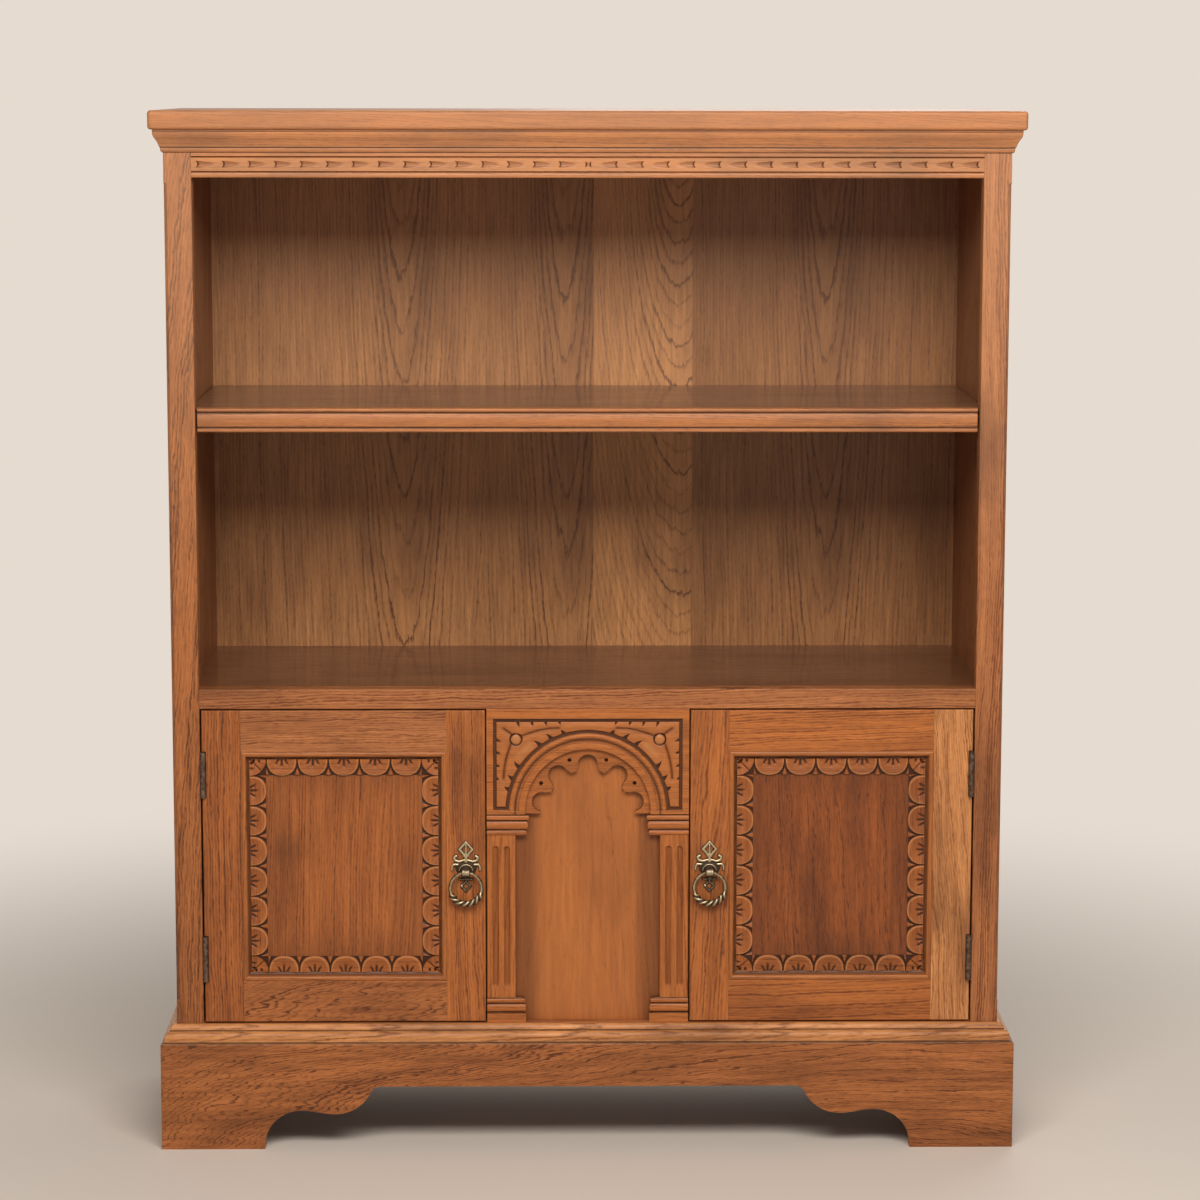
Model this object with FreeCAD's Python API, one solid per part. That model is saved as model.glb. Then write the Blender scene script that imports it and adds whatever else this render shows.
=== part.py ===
import FreeCAD
import Part
import math
import os

# Oak bookcase cabinet: two open bays over a cupboard with two doors and a fixed arched panel.
# Millimetres. X runs to the right, Y from front to back and Z up.
# The origin is on the floor, in the middle of the footprint.

V = FreeCAD.Vector

# Carcass
WIDTH = 916.0           # outside the sides
DEPTH = 313.0           # stile face to the back of the sides
HEIGHT = 1149.0         # floor to the top of the top board
SIDE_T = 22.0
STILE_W = 30.0
STILE_T = 22.0
BACK_T = 6.0
BACK_REBATE = 8.0       # width of the rebate in each side that takes the back panel
FIT = 0.3               # play of a dry fitted piece
ARRIS = 0.8             # eased edge
OVER = 1.0              # cutters run this far past a face
STILE_CHAMFER = 3.5
CHAMFER_TOP = 34.0      # below the cornice
CHAMFER_BOTTOM = 27.0   # above the base moulding

# Top and cornice
TOP_T = 20.5
TOP_OUT = 15.0
TOP_ROUND = 3.5
CORNICE_H = 24.5
CORNICE_OUT = 10.3
CORNICE_BEAD_H = 5.0
CORNICE_BEAD_OUT = 2.6
CORNICE_QUIRK = 0.9     # step from the bead up to the cove
CORNICE_COVE_H = 8.6
CORNICE_COVE_OUT = 7.6  # where the cove turns into the ovolo
CORNICE_LIP = 2.0       # upright edge under the top board
MOULD_BOW = 0.8         # rise of the curves of the cornice and the base moulding
FRIEZE_H = 27.0         # below the cornice
FRIEZE_BEAD = 6.4
FRIEZE_FILLET = 4.6
FRIEZE_LINE = 0.8       # half width of the V grooves beside the carved band
FRIEZE_SET = 0.6        # carved band behind the stile face

# Shelf, deck and floor
SHELF_TOP = 827.0
SHELF_T = 26.0
SHELF_SET = 6.0         # front of the shelf behind the stile face
SHELF_PLAY = 2.0        # between the lipping and a stile
SHELF_FIT = 1.0         # round the loose shelf board
LIP_BEAD = 3.8
LIP_GROOVE = 2.2
LIP_DEEP = 2.6
LIP_ROUND = 1.1
STUD_R = 3.0
STUD_IN = 10.0          # length in the side, and again under the shelf
STUD_SET = 60.0         # from the stile and from the back panel
DECK_TOP = 517.5
DECK_T = 22.0
FLOOR_T = 18.0

# Plinth
PLINTH_OUT = 17.0
PLINTH_H = 120.0
BASE_MOULD_H = 20.0
QUIRK_H = 2.0           # dark line between the plinth and its moulding
QUIRK_IN = 4.0
STEP_EDGE = 4.0         # upright edge of the lower step
STEP_H = 12.6           # top of the lower step above the plinth
STEP_RUN = 5.2
FILLET_H = 1.8
MOULD_TOP = 3.0         # the moulding's top edge in front of the carcass
SIDE_FOOT = 60.0        # sides and stiles stop this far above the floor
FOOT_W = 115.0          # front foot along the floor, from the plinth's outer corner
FOOT_RISE = 4.0
FOOT_R = 40.0
LOBE_W = 89.0           # from the top of the foot's arc to the straight underside
LOBE_DIP = 4.2
LOBE_AT = 0.44          # lowest point of the lobe, as a share of its width
TURN_AT = 0.78          # where the ogee turns, as a share of its rise from the lobe
ARCH_UNDER = 71.4       # straight underside of the front board
SIDE_FOOT_W = 95.0
SIDE_UNDER = 44.0
BLOCK_W = 46.0
BLOCK_LIFT = 1.0        # blocks clear of the floor
RAIL_T = 18.0

# Doors
DOOR_T = 20.0
DOOR_GAP = 2.0          # beside a stile
DOOR_CLEAR = 1.6        # over the base rail, under the deck and beside the centre panel
DOOR_STILE = 43.0
DOOR_RAIL = 46.5
PANEL_SET = 7.0         # panel face behind the door face
PANEL_T = 6.0
PANEL_TONGUE = 4.5
TONGUE_ROOM = 0.5
BEAD_W = 9.0            # bead and cove together
BEAD_ROUND = 5.2        # the bead alone
BEAD_EDGE = 0.4         # edge of the bead behind the door face
BEAD_RISE = 1.2
COVE_TOP = 1.6
COVE_TOE = 1.2
COVE_BOW = 0.9
BORDER_W = 19.5
BORDER_T = 3.6
BORDER_EASE = 1.2

# Hinges
HINGE_H = 49.0
HINGE_R = 3.1
HINGE_PROUD = 1.0       # axis in front of the door face
HINGE_INSET = 47.5      # hinge end from the door's top and bottom edges
HINGE_PLAY = 0.4
BARREL_CLEAR = 0.2      # barrel to the edge of the stile
KNUCKLES = 3
LEAF_T = 1.5
LEAF_GAP = 0.4          # between the closed leaves
LEAF_SHORT = 2.0        # leaf stops in front of the door's back
PIN_R = 1.5
PIN_PLAY = 0.05
PIN_HEAD = 1.2
HOLE_PLAY = 0.1

# Ring pulls
PULL_DROP = 4.75        # eye below the middle of the door
PLATE_T = 2.2
PLATE_R = 10.0
ARM_W = 16.5            # points beside the eye
ARM_UP = 5.0
BODY_UP = 20.0
BODY_DOWN = 12.0
CURL_AT = 11.4          # curls over the arms
CURL_UP = 15.0
CURL_R = 2.8
FINIAL_W = 7.8
FINIAL_LOW = 17.0
FINIAL_MID = 24.0
FINIAL_TOP = 34.0
FINIAL_RIM = 3.9        # metal round the pierced finial, across and up
PENDANT_W = 6.6
PENDANT_MID = -15.0
PENDANT_LOW = -24.0
POST_OUT = 8.5          # eye in front of the door face
POST_WIDE = 4.5         # half the length of the eye
POST_HEAD = 5.6
POST_NECK = 3.4         # half the width of the flat neck
COLLAR_T = 1.6
POST_R = 2.5            # bolt through the door
EYE_R = 3.5
NUT_R = 5.0             # across the corners
NUT_TURNS = [math.radians(60 * corner) for corner in range(6)]
NUT_T = 4.0
BOLT_END = 1.0          # bolt past its nut
RING_R = 17.6
RING_THIN = 2.2         # bar through the eye
GRIP_R = 3.9            # thicker stretch at the bottom
GRIP_TURN = 140.0       # degrees of the ring that are thick
RING_SPANS = 16         # the thick stretch tapers over one span at each end
RING_SIDES = 12         # flats round the bar

# Door catches
CATCH_L = 32.0
CATCH_D = 14.0
CATCH_H = 12.0
CATCH_SIDE = 4.0        # from the post
STRIKE_T = 1.5
STRIKE_IN = 6.0         # shorter than the catch at each end
STRIKE_DOWN = 1.0       # below the top of the door
CATCH_AIR = 0.5

# Centre panel
CENTRE_W = 224.0
FIELD_SET = 12.0        # field behind the stile face
STOP_PLAY = 0.4         # door back to the posts
POST_W = 36.0
POST_D = 22.0
STOP_LAP = 10.0         # post behind the edge of a door
ARCH_SIDE = 24.6        # arch bead to the side of the panel
ARCH_OVER = 27.8        # arch bead to the deck
SPRING_UP = 3.5         # arch centre above the bottom of the head
ARCH_BAND = 7.5
ARCH_CHANNEL = 4.8
ARCH_BEAD = 5.8
BEAD_FLATS = 6          # flats across the round of the bead
CHANNEL_DEEP = 2.0
SPANDREL_DEEP = 3.0     # sunk ground of the spandrels
SPANDREL_SIDE = 7.2     # plain border beside the spandrels
SPANDREL_TOP = 11.2
SPANDREL_UP = 1.0       # above the arch centre
TRACERY_T = 7.0
TRACERY_LAP = 12.7      # hidden behind the arch
FOILS = 5
FOIL_R = 11.0
FOIL_MOUTH_R = 12.2
FOIL_IN = 17.3          # foil centres inside the arch
FOIL_MOUTH_IN = 24.8
FOIL_STEP = 39.5        # degrees
CUSP_IN = 23.3          # blunt tips of the cusps
END_CUSP_IN = 16.8
PIERCE_R = 2.2
PIERCE_IN = 9.0
PILASTER_W = 31.8
PILASTER_SET = 3.0
FLUTE_W = 7.2
FLUTE_DEEP = 2.6
FLUTE_FROM_EDGE = 9.5   # flute centre from the edge of the shaft
FLUTE_STOP = 16.0
CAP_LAP = 15.0          # capital past the inner edge of its shaft
BASE_LAP = 11.9
CAP_H = 23.8
BASE_H = 27.6
BAND_PROUD = 1.0
BAND_DEEP = 4.4         # hollows between the bands
# Bands as bottom, top, set back and roundness
CAP_BANDS = ((0.0, 5.0, 2.4, 1.0), (7.2, 15.6, 1.2, 1.3), (17.4, 22.6, 0.0, 1.0))
BASE_BANDS = ((0.0, 10.0, 0.4, 0.1), (12.8, 20.8, 0.6, 1.2), (22.5, 27.0, 1.6, 0.7))

# Places worked out from the sizes above
half = WIDTH / 2
face = -(DEPTH + PLINTH_OUT) / 2 + PLINTH_OUT
back = face + DEPTH
panel_face = back - BACK_T
inner = half - SIDE_T
opening = half - STILE_W
stile_back = face + STILE_T
top_under = HEIGHT - TOP_T
cornice_bottom = top_under - CORNICE_H
frieze_bottom = cornice_bottom - FRIEZE_H
shelf_under = SHELF_TOP - SHELF_T
deck_under = DECK_TOP - DECK_T
floor_top = PLINTH_H + BASE_MOULD_H
floor_under = floor_top - FLOOR_T
centre = CENTRE_W / 2
door_in = centre + DOOR_CLEAR
door_out = opening - DOOR_GAP
door_low = floor_top + DOOR_CLEAR
door_high = deck_under - DOOR_CLEAR
door_back = face + DOOR_T
panel_in = door_in + DOOR_STILE
panel_out = door_out - DOOR_STILE
panel_low = door_low + DOOR_RAIL
panel_high = door_high - DOOR_RAIL
panel_y = face + PANEL_SET
hinge_x = opening - BARREL_CLEAR - HINGE_R
hinge_y = face - HINGE_PROUD
hinge_starts = (door_low + HINGE_INSET, door_high - HINGE_INSET - HINGE_H)
leaf_x = opening - 2 * LEAF_T - LEAF_GAP
leaf_back = door_back - LEAF_SHORT
pull_x = door_in + DOOR_STILE / 2
pull_z = (door_low + door_high) / 2 - PULL_DROP
eye_y = face - POST_OUT
field_y = face + FIELD_SET
field_back = door_back + STOP_PLAY
bead_out = centre - ARCH_SIDE
bead_in = bead_out - ARCH_BEAD
channel_in = bead_in - ARCH_CHANNEL
arch_r = channel_in - ARCH_BAND
arch_z = deck_under - ARCH_OVER - bead_out
head_low = arch_z - SPRING_UP
shaft_low = floor_top + BASE_H
shaft_high = head_low - CAP_H
shaft_in = centre - PILASTER_W


def block(x, y, z):
    """Box between three (low, high) pairs."""
    return Part.makeBox(x[1] - x[0], y[1] - y[0], z[1] - z[0], V(x[0], y[0], z[0]))


def outline(place, start, *steps):
    """Closed flat face. A step is an end point, or a point on an arc with its end point."""
    edges = []
    here = place(*start)
    for step in steps:
        if isinstance(step[0], tuple):
            end = place(*step[1])
            edges.append(Part.Arc(here, place(*step[0]), end).toShape())
        else:
            end = place(*step)
            edges.append(Part.makeLine(here, end))
        here = end
    edges.append(Part.makeLine(here, place(*start)))
    return Part.Face(Part.Wire(edges))


def bow(start, end, rise):
    """Arc step from start to end that rises to the right of the straight line."""
    along = (end[0] - start[0], end[1] - start[1])
    share = rise / math.hypot(*along)
    middle = ((start[0] + end[0]) / 2 + share * along[1], (start[1] + end[1]) / 2 - share * along[0])
    return middle, end


def ease(start, end, side):
    """Arc step that is level at one end and bows up for a side of 1, down for -1, on the way to -X."""
    along = (end[0] - start[0], end[1] - start[1])
    slope = math.atan2(abs(along[1]), abs(along[0]))
    return bow(start, end, side * math.hypot(*along) / 2 * math.tan(slope / 2))


def between(start, end, share):
    """Point on the straight line from start to end."""
    return start[0] + share * (end[0] - start[0]), start[1] + share * (end[1] - start[1])


def plan(corners, z):
    """Upright prism over a list of X, Y corners."""
    foot = outline(lambda x, y: V(x, y, z[0]), *corners)
    return foot.extrude(V(0, 0, z[1] - z[0]))


def rod_x(x, y, z, radius):
    return Part.makeCylinder(radius, x[1] - x[0], V(x[0], y, z), V(1, 0, 0))


def rod_y(x, y, z, radius):
    return Part.makeCylinder(radius, y[1] - y[0], V(x, y[0], z), V(0, 1, 0))


def rod_z(x, y, z, radius):
    return Part.makeCylinder(radius, z[1] - z[0], V(x, y, z[0]), V(0, 0, 1))


def mirrored(shape):
    """The same piece on the left hand side."""
    return shape.mirror(V(0, 0, 0), V(1, 0, 0))


def both_sides(shape):
    return Part.makeCompound([mirrored(shape), shape])


def eased(shape, pick, size=ARRIS):
    """Chamfer the edges whose bounding box passes the test."""
    return shape.makeChamfer(size, [edge for edge in shape.Edges if pick(edge.BoundBox)])


def lies_at(low, high, place):
    return abs(low - place) < 1e-6 and abs(high - place) < 1e-6


def front_edge_across(box):
    """Edge along X in the plane of the stile faces."""
    return lies_at(box.YMin, box.YMax, face) and box.XLength > STILE_W


def surround(profile, out, z):
    """Front length and right hand return of a moulding, mitred at the corner."""
    front_bar = outline(lambda o, h: V(-half - out, face - o, h), *profile)
    front_bar = front_bar.extrude(V(2 * (half + out), 0, 0))
    side_bar = outline(lambda o, h: V(half + o, face - out, h), *profile)
    side_bar = side_bar.extrude(V(0, back - face + out, 0))
    corner = (half + out, face - out)
    front_plan = [(-half, face), (half, face), corner, (-corner[0], corner[1])]
    side_plan = [(half, face), corner, (corner[0], back), (half, back)]
    return front_bar.common(plan(front_plan, z)), side_bar.common(plan(side_plan, z))


def top_board():
    out = half + TOP_OUT
    board = block((-out, out), (face - TOP_OUT, back), (top_under, HEIGHT))
    rounded = [edge for edge in board.Edges if edge.BoundBox.YMin < back - OVER]
    return board.makeFillet(TOP_ROUND, rounded)


def cornice():
    """Small bead, then a cove that turns into an ovolo under an upright lip."""
    top = top_under
    low = cornice_bottom
    bead_foot = (CORNICE_QUIRK, low)
    bead_top = (CORNICE_BEAD_OUT, low + CORNICE_BEAD_H)
    neck = (CORNICE_BEAD_OUT + CORNICE_QUIRK, bead_top[1] + CORNICE_QUIRK)
    turn = (CORNICE_COVE_OUT, neck[1] + CORNICE_COVE_H)
    lip = (CORNICE_OUT, top - CORNICE_LIP)
    profile = [
        (0, low), bead_foot, bow(bead_foot, bead_top, MOULD_BOW), neck, bow(neck, turn, -MOULD_BOW / 2),
        bow(turn, lip, MOULD_BOW), (CORNICE_OUT, top), (0, top),
    ]
    return surround(profile, CORNICE_OUT, (low, top))


def frieze_rail():
    """Moulded rail between the stiles: bead, flat band for the carving, fillet."""
    low = frieze_bottom
    band_low = low + FRIEZE_BEAD
    band_high = cornice_bottom - FRIEZE_FILLET
    bead_foot = (2 * FRIEZE_SET, low)
    bead_top = (2 * FRIEZE_SET, band_low - FRIEZE_LINE)
    groove = FRIEZE_SET + 2 * FRIEZE_LINE
    profile = outline(
        lambda d, h: V(-opening, face + d, h),
        (STILE_T, low), bead_foot, bow(bead_foot, bead_top, -2 * FRIEZE_SET), (groove, band_low),
        (FRIEZE_SET, band_low + FRIEZE_LINE), (FRIEZE_SET, band_high - FRIEZE_LINE),
        (groove, band_high), (0, band_high + FRIEZE_LINE), (0, top_under), (STILE_T, top_under))
    return profile.extrude(V(2 * opening, 0, 0))


def stud_places():
    return (stile_back + STUD_SET, panel_face - STUD_SET)


def side_panel():
    side = block((inner, half), (stile_back, back), (SIDE_FOOT, top_under))
    rebate = block((inner, inner + BACK_REBATE), (panel_face, back), (floor_under, top_under))
    side = side.cut(rebate)
    for y in stud_places():
        hole = rod_x((inner, inner + STUD_IN + FIT), y, shelf_under - STUD_R, STUD_R + HOLE_PLAY)
        side = side.cut(hole)
    return side


def front_stile():
    """Stile with a stopped chamfer down its outer front corner."""
    stile = block((opening, half), (face, stile_back), (SIDE_FOOT, top_under))
    stile = eased(stile, lambda b: lies_at(b.YMin, b.YMax, face) and lies_at(b.XMin, b.XMax, opening))
    low = floor_top + CHAMFER_BOTTOM
    high = cornice_bottom - CHAMFER_TOP
    deep = STILE_CHAMFER / math.sqrt(2)
    slope = math.sqrt(0.5)
    reach = 2 * STILE_CHAMFER
    cutter = outline(
        lambda d, h: V(half - slope * (d + reach), face + slope * (d - reach), h),
        (-reach, low - reach - deep), (deep, low), (deep, high), (-reach, high + reach + deep))
    cutter = cutter.extrude(V(2 * slope * reach, 2 * slope * reach, 0))
    return stile.cut(cutter)


def back_panel():
    edge = inner + BACK_REBATE - FIT
    return block((-edge, edge), (panel_face, back), (floor_under, top_under))


def middle_shelf():
    """Loose board behind the stiles."""
    edge = inner - SHELF_FIT
    depth = (stile_back + SHELF_FIT, panel_face - SHELF_FIT)
    return block((-edge, edge), depth, (shelf_under, SHELF_TOP))


def shelf_lipping():
    """Front edge of the shelf: a rounded band between two beads."""
    edge = opening - SHELF_PLAY
    front = face + SHELF_SET
    depth = stile_back + SHELF_FIT - front
    step = LIP_BEAD + LIP_GROOVE
    bands = [
        (shelf_under, shelf_under + LIP_BEAD),
        (shelf_under + step, SHELF_TOP - step),
        (SHELF_TOP - LIP_BEAD, SHELF_TOP),
    ]
    points = []
    for low, high in bands:
        foot = (LIP_ROUND, low)
        points += [(LIP_DEEP, low), foot, bow(foot, (LIP_ROUND, high), -LIP_ROUND), (LIP_DEEP, high)]
    profile = outline(lambda d, h: V(-edge, front + d, h), (depth, shelf_under), *points, (depth, SHELF_TOP))
    return profile.extrude(V(2 * edge, 0, 0))


def shelf_studs():
    studs = []
    for y in stud_places():
        stud = rod_x((inner - STUD_IN, inner + STUD_IN), y, shelf_under - STUD_R, STUD_R)
        studs += [stud, mirrored(stud)]
    return Part.makeCompound(studs)


def deck_board():
    return block((-inner, inner), (stile_back, panel_face), (deck_under, DECK_TOP))


def deck_rail():
    rail = block((-opening, opening), (face, stile_back), (deck_under, DECK_TOP))
    return eased(rail, front_edge_across)


def floor_board():
    return block((-inner, inner), (stile_back, panel_face), (floor_under, floor_top))


def base_rail():
    return block((-opening, opening), (face, stile_back), (floor_under, floor_top))


def base_moulding():
    """Quirk, rounded step, fillet and bead, from the plinth up to the carcass."""
    low = PLINTH_H
    high = floor_top
    step = PLINTH_OUT - QUIRK_IN
    edge = (step, low + QUIRK_H + STEP_EDGE)
    step_top = (step - STEP_RUN, low + STEP_H)
    fillet = (step_top[0] - MOULD_BOW, step_top[1])
    bead_foot = (fillet[0], fillet[1] + FILLET_H)
    bead_top = (MOULD_TOP, high)
    profile = [
        (0, low), (PLINTH_OUT - ARRIS, low), (step, low + QUIRK_H), edge, bow(edge, step_top, 2 * MOULD_BOW),
        fillet, bead_foot, bow(bead_foot, bead_top, MOULD_BOW), (0, high),
    ]
    return surround(profile, PLINTH_OUT, (low, high))


def front_foot_opening():
    """Space between the front feet: round arch, hanging lobe and ogee up to a straight run."""
    foot = half + PLINTH_OUT - FOOT_W
    spring = (foot, FOOT_RISE)
    arc = (foot - FOOT_R, FOOT_RISE + FOOT_R)
    lobe = (arc[0] - LOBE_AT * LOBE_W, arc[1] - LOBE_DIP)
    crown = (arc[0] - LOBE_W, ARCH_UNDER)
    dip = between(arc, lobe, 0.5)
    turn = between(lobe, crown, TURN_AT)
    slant = FOOT_R * math.sqrt(0.5)
    right = [
        spring, ((arc[0] + slant, FOOT_RISE + slant), arc),
        ease(arc, dip, 1), ease(dip, lobe, -1), ease(lobe, turn, -1), ease(turn, crown, 1),
    ]
    # The left half runs back down, so each arc ends where the one before it began.
    left = [(-crown[0], crown[1])]
    starts = [spring, arc, dip, lobe, turn]
    for (middle, _), end in zip(reversed(right[1:]), reversed(starts)):
        left.append(((-middle[0], middle[1]), (-end[0], end[1])))
    below = -FOOT_RISE
    hole = outline(lambda x, z: V(x, face - PLINTH_OUT - OVER, z),
                   (foot, below), *right, *left, (-foot, below))
    return hole.extrude(V(0, PLINTH_OUT + 2 * OVER, 0))


def side_foot_opening():
    """Plain cut between the feet of a side board, with rounded upper corners."""
    front = face - PLINTH_OUT + SIDE_FOOT_W
    rear = back - SIDE_FOOT_W
    radius = SIDE_UNDER - FOOT_RISE
    slant = radius * (1 - math.sqrt(0.5))
    below = -FOOT_RISE
    hole = outline(
        lambda y, z: V(half - OVER, y, z),
        (front, below), (front, FOOT_RISE),
        ((front + slant, SIDE_UNDER - slant), (front + radius, SIDE_UNDER)),
        (rear - radius, SIDE_UNDER), ((rear - slant, SIDE_UNDER - slant), (rear, FOOT_RISE)),
        (rear, below))
    return hole.extrude(V(PLINTH_OUT + 2 * OVER, 0, 0))


def plinth():
    profile = [
        (0, 0), (PLINTH_OUT, 0), (PLINTH_OUT, PLINTH_H - 2 * ARRIS),
        ((PLINTH_OUT - ARRIS / 2, PLINTH_H - ARRIS / 2), (PLINTH_OUT - 2 * ARRIS, PLINTH_H)),
        (0, PLINTH_H),
    ]
    front, side = surround(profile, PLINTH_OUT, (0, PLINTH_H))
    return front.cut(front_foot_opening()), side.cut(side_foot_opening())


def plinth_back():
    """Rail under the rear of the floor board."""
    return block((-inner, inner), (panel_face - RAIL_T, panel_face), (ARCH_UNDER, floor_under))


def corner_blocks():
    blocks = []
    for y in ((face, face + BLOCK_W), (back - BLOCK_W, back)):
        glued = block((half - BLOCK_W, half), y, (BLOCK_LIFT, SIDE_FOOT))
        blocks += [glued, mirrored(glued)]
    return Part.makeCompound(blocks)


def centre_field():
    return block((-centre, centre), (field_y, field_back), (floor_top, deck_under))


def centre_posts():
    """Posts behind the field. Their outer edges stop the doors."""
    edge = door_in + STOP_LAP
    return both_sides(block((edge - POST_W, edge), (field_back, field_back + POST_D),
                            (floor_top, deck_under)))


def arch_ring():
    """Flat band, channel and a bead worked in flats, turned about the centre of the arch."""
    half = (bead_out - bead_in) / 2
    round_r = (half ** 2 + CHANNEL_DEEP ** 2) / (2 * CHANNEL_DEEP)
    lean = math.asin(half / round_r)
    turns = [lean * (2 * step / BEAD_FLATS - 1) for step in range(BEAD_FLATS + 1)]
    bead = [(bead_in + half + round_r * math.sin(turn), round_r * (1 - math.cos(turn))) for turn in turns]
    section = outline(
        lambda r, d: V(r, face + d, arch_z),
        (arch_r, FIELD_SET), (arch_r, ARRIS), (arch_r + ARRIS, 0), (channel_in - ARRIS, 0),
        (channel_in, ARRIS), (channel_in, CHANNEL_DEEP), *bead, (bead_out, FIELD_SET))
    return section.revolve(V(0, 0, arch_z), V(0, -1, 0), 180)


def spandrel_ground():
    """Sunk ground of both spandrels, across the arch."""
    side = centre - SPANDREL_SIDE
    height = (arch_z + SPANDREL_UP, deck_under - SPANDREL_TOP)
    return block((-side, side), (face - OVER, face + SPANDREL_DEEP), height)


def arch_head():
    """Head board with the arch, its spandrels and a rebate behind for the tracery."""
    through = (face - OVER, field_y + OVER)
    head = block((-centre, centre), (face, field_y), (head_low, deck_under))
    head = head.cut(spandrel_ground())
    head = head.cut(rod_y(0, through, arch_z, bead_out))
    head = head.fuse(arch_ring())
    for side in (-1, 1):
        ends = sorted((side * arch_r, side * (bead_out + OVER)))
        head = head.fuse(block(ends, (face, field_y), (head_low, arch_z)))
    rebate = (field_y - TRACERY_T, field_y)
    reach = arch_r + TRACERY_LAP
    head = head.cut(rod_y(0, rebate, arch_z, reach))
    head = head.cut(block((-reach, reach), rebate, (head_low, arch_z)))
    return head.removeSplitter()


def arch_tracery():
    """Plate with a row of foils, blunt cusps and pierced dots, let in behind the arch."""
    depth = (field_y - TRACERY_T, field_y)
    reach = arch_r + TRACERY_LAP - FIT
    plate = rod_y(0, depth, arch_z, reach)
    plate = plate.cut(block((-reach, reach), depth, (arch_z - reach, arch_z)))
    plate = plate.fuse(block((-reach, reach), depth, (head_low, arch_z)))

    def polar(inside, turns, size):
        angle = math.radians(turns * FOIL_STEP)
        radius = arch_r - inside
        return rod_y(radius * math.sin(angle), depth, arch_z + radius * math.cos(angle), size)

    foils = [index - (FOILS - 1) / 2 for index in range(FOILS)]
    end_cusp = arch_r - END_CUSP_IN
    holes = [rod_y(0, depth, arch_z, arch_r - CUSP_IN)]
    holes.append(block((-end_cusp, end_cusp), depth, (head_low, arch_z)))
    for turns in foils:
        holes.append(polar(FOIL_IN, turns, FOIL_R))
        holes.append(polar(FOIL_MOUTH_IN, turns, FOIL_MOUTH_R))
    for turns in foils[:-1]:
        holes.append(polar(PIERCE_IN, turns + 0.5, PIERCE_R))
    for hole in holes:
        plate = plate.cut(hole)
    return plate.removeSplitter()


def returned(bands, low, high, lap):
    """Rounded bands on the front of a pilaster's end block, and again on its inner end."""
    out = FIELD_SET + BAND_PROUD
    deep = out - BAND_DEEP
    profile = [(0, low)]
    for bottom, top, set_back, rise in bands:
        foot = (out - set_back - rise, low + bottom)
        crest = (foot[0], low + top)
        profile += [(deep, foot[1]), foot, bow(foot, crest, rise), (deep, crest[1])]
    profile += [(deep, high), (0, high)]
    inner_end = shaft_in - lap
    length = centre - inner_end
    front = outline(lambda o, z: V(inner_end, field_y - o, z), *profile).extrude(V(length, 0, 0))
    end = outline(lambda o, z: V(inner_end + out - o, face - out, z), *profile[1:-1],
                  (out - length, high), (out - length, low))
    return front.common(end.extrude(V(0, 2 * out, 0)))


def pilaster_capital():
    """Three rounded bands, the top one widest."""
    return returned(CAP_BANDS, shaft_high, head_low, CAP_LAP)


def pilaster_base():
    """Square block, rounded band and thin fillet."""
    return returned(BASE_BANDS, floor_top, shaft_low, BASE_LAP)


def pilaster():
    """Shaft with two stopped flutes."""
    front = face + PILASTER_SET
    shaft = block((shaft_in, centre), (front, field_y), (shaft_low, shaft_high))
    shaft = eased(shaft, lambda b: lies_at(b.YMin, b.YMax, front) and b.ZLength > FLUTE_W)
    radius = (FLUTE_W ** 2 / 4 + FLUTE_DEEP ** 2) / (2 * FLUTE_DEEP)
    axis_y = front + FLUTE_DEEP - radius
    low = shaft_low + FLUTE_STOP
    high = shaft_high - FLUTE_STOP
    for x in (shaft_in + FLUTE_FROM_EDGE, centre - FLUTE_FROM_EDGE):
        flute = rod_z(x, axis_y, (low, high), radius)
        for z in (low, high):
            flute = flute.fuse(Part.makeSphere(radius, V(x, axis_y, z)))
        shaft = shaft.cut(flute)
    return shaft


def door_frame():
    """Hinge stile, lock stile, top rail and bottom rail of the right hand door."""
    depth = (face, door_back)
    height = (door_low, door_high)
    blank = block((door_in, door_out), depth, height)
    blank = eased(blank, lambda b: lies_at(b.YMin, b.YMax, face))
    room = PANEL_TONGUE + TONGUE_ROOM
    groove = block((panel_in - room, panel_out + room), (panel_y, panel_y + PANEL_T),
                   (panel_low - room, panel_high + room))
    blank = blank.cut(groove)
    blank = blank.cut(block((panel_in, panel_out), depth, (panel_low, panel_high)))
    hinge_stile = blank.common(block((panel_out, door_out), depth, height))
    lock_stile = blank.common(block((door_in, panel_in), depth, height))
    top_rail = blank.common(block((panel_in, panel_out), depth, (panel_high, door_high)))
    bottom_rail = blank.common(block((panel_in, panel_out), depth, (door_low, panel_low)))
    for start in hinge_starts:
        length = (start - HINGE_PLAY, start + HINGE_H + HINGE_PLAY)
        barrel = (length[0] - PIN_HEAD, length[1] + PIN_HEAD)
        leaf_room = block((leaf_x, door_out + OVER), (face - OVER, leaf_back + HINGE_PLAY), length)
        hinge_stile = hinge_stile.cut(leaf_room)
        hinge_stile = hinge_stile.cut(rod_z(hinge_x, hinge_y, barrel, HINGE_R + HINGE_PLAY))
    bolt_hole = rod_y(pull_x, (face - OVER, door_back + OVER), pull_z, POST_R + HOLE_PLAY)
    return hinge_stile, lock_stile.cut(bolt_hole), top_rail, bottom_rail


def door_panel():
    edge = PANEL_TONGUE
    depth = (panel_y + TONGUE_ROOM / 2, panel_y + PANEL_T - TONGUE_ROOM / 2)
    panel = block((panel_in - edge, panel_out + edge), depth, (panel_low - edge, panel_high + edge))
    face_board = block((panel_in, panel_out), (panel_y, depth[1]), (panel_low, panel_high))
    return panel.fuse(face_board).removeSplitter()


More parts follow.
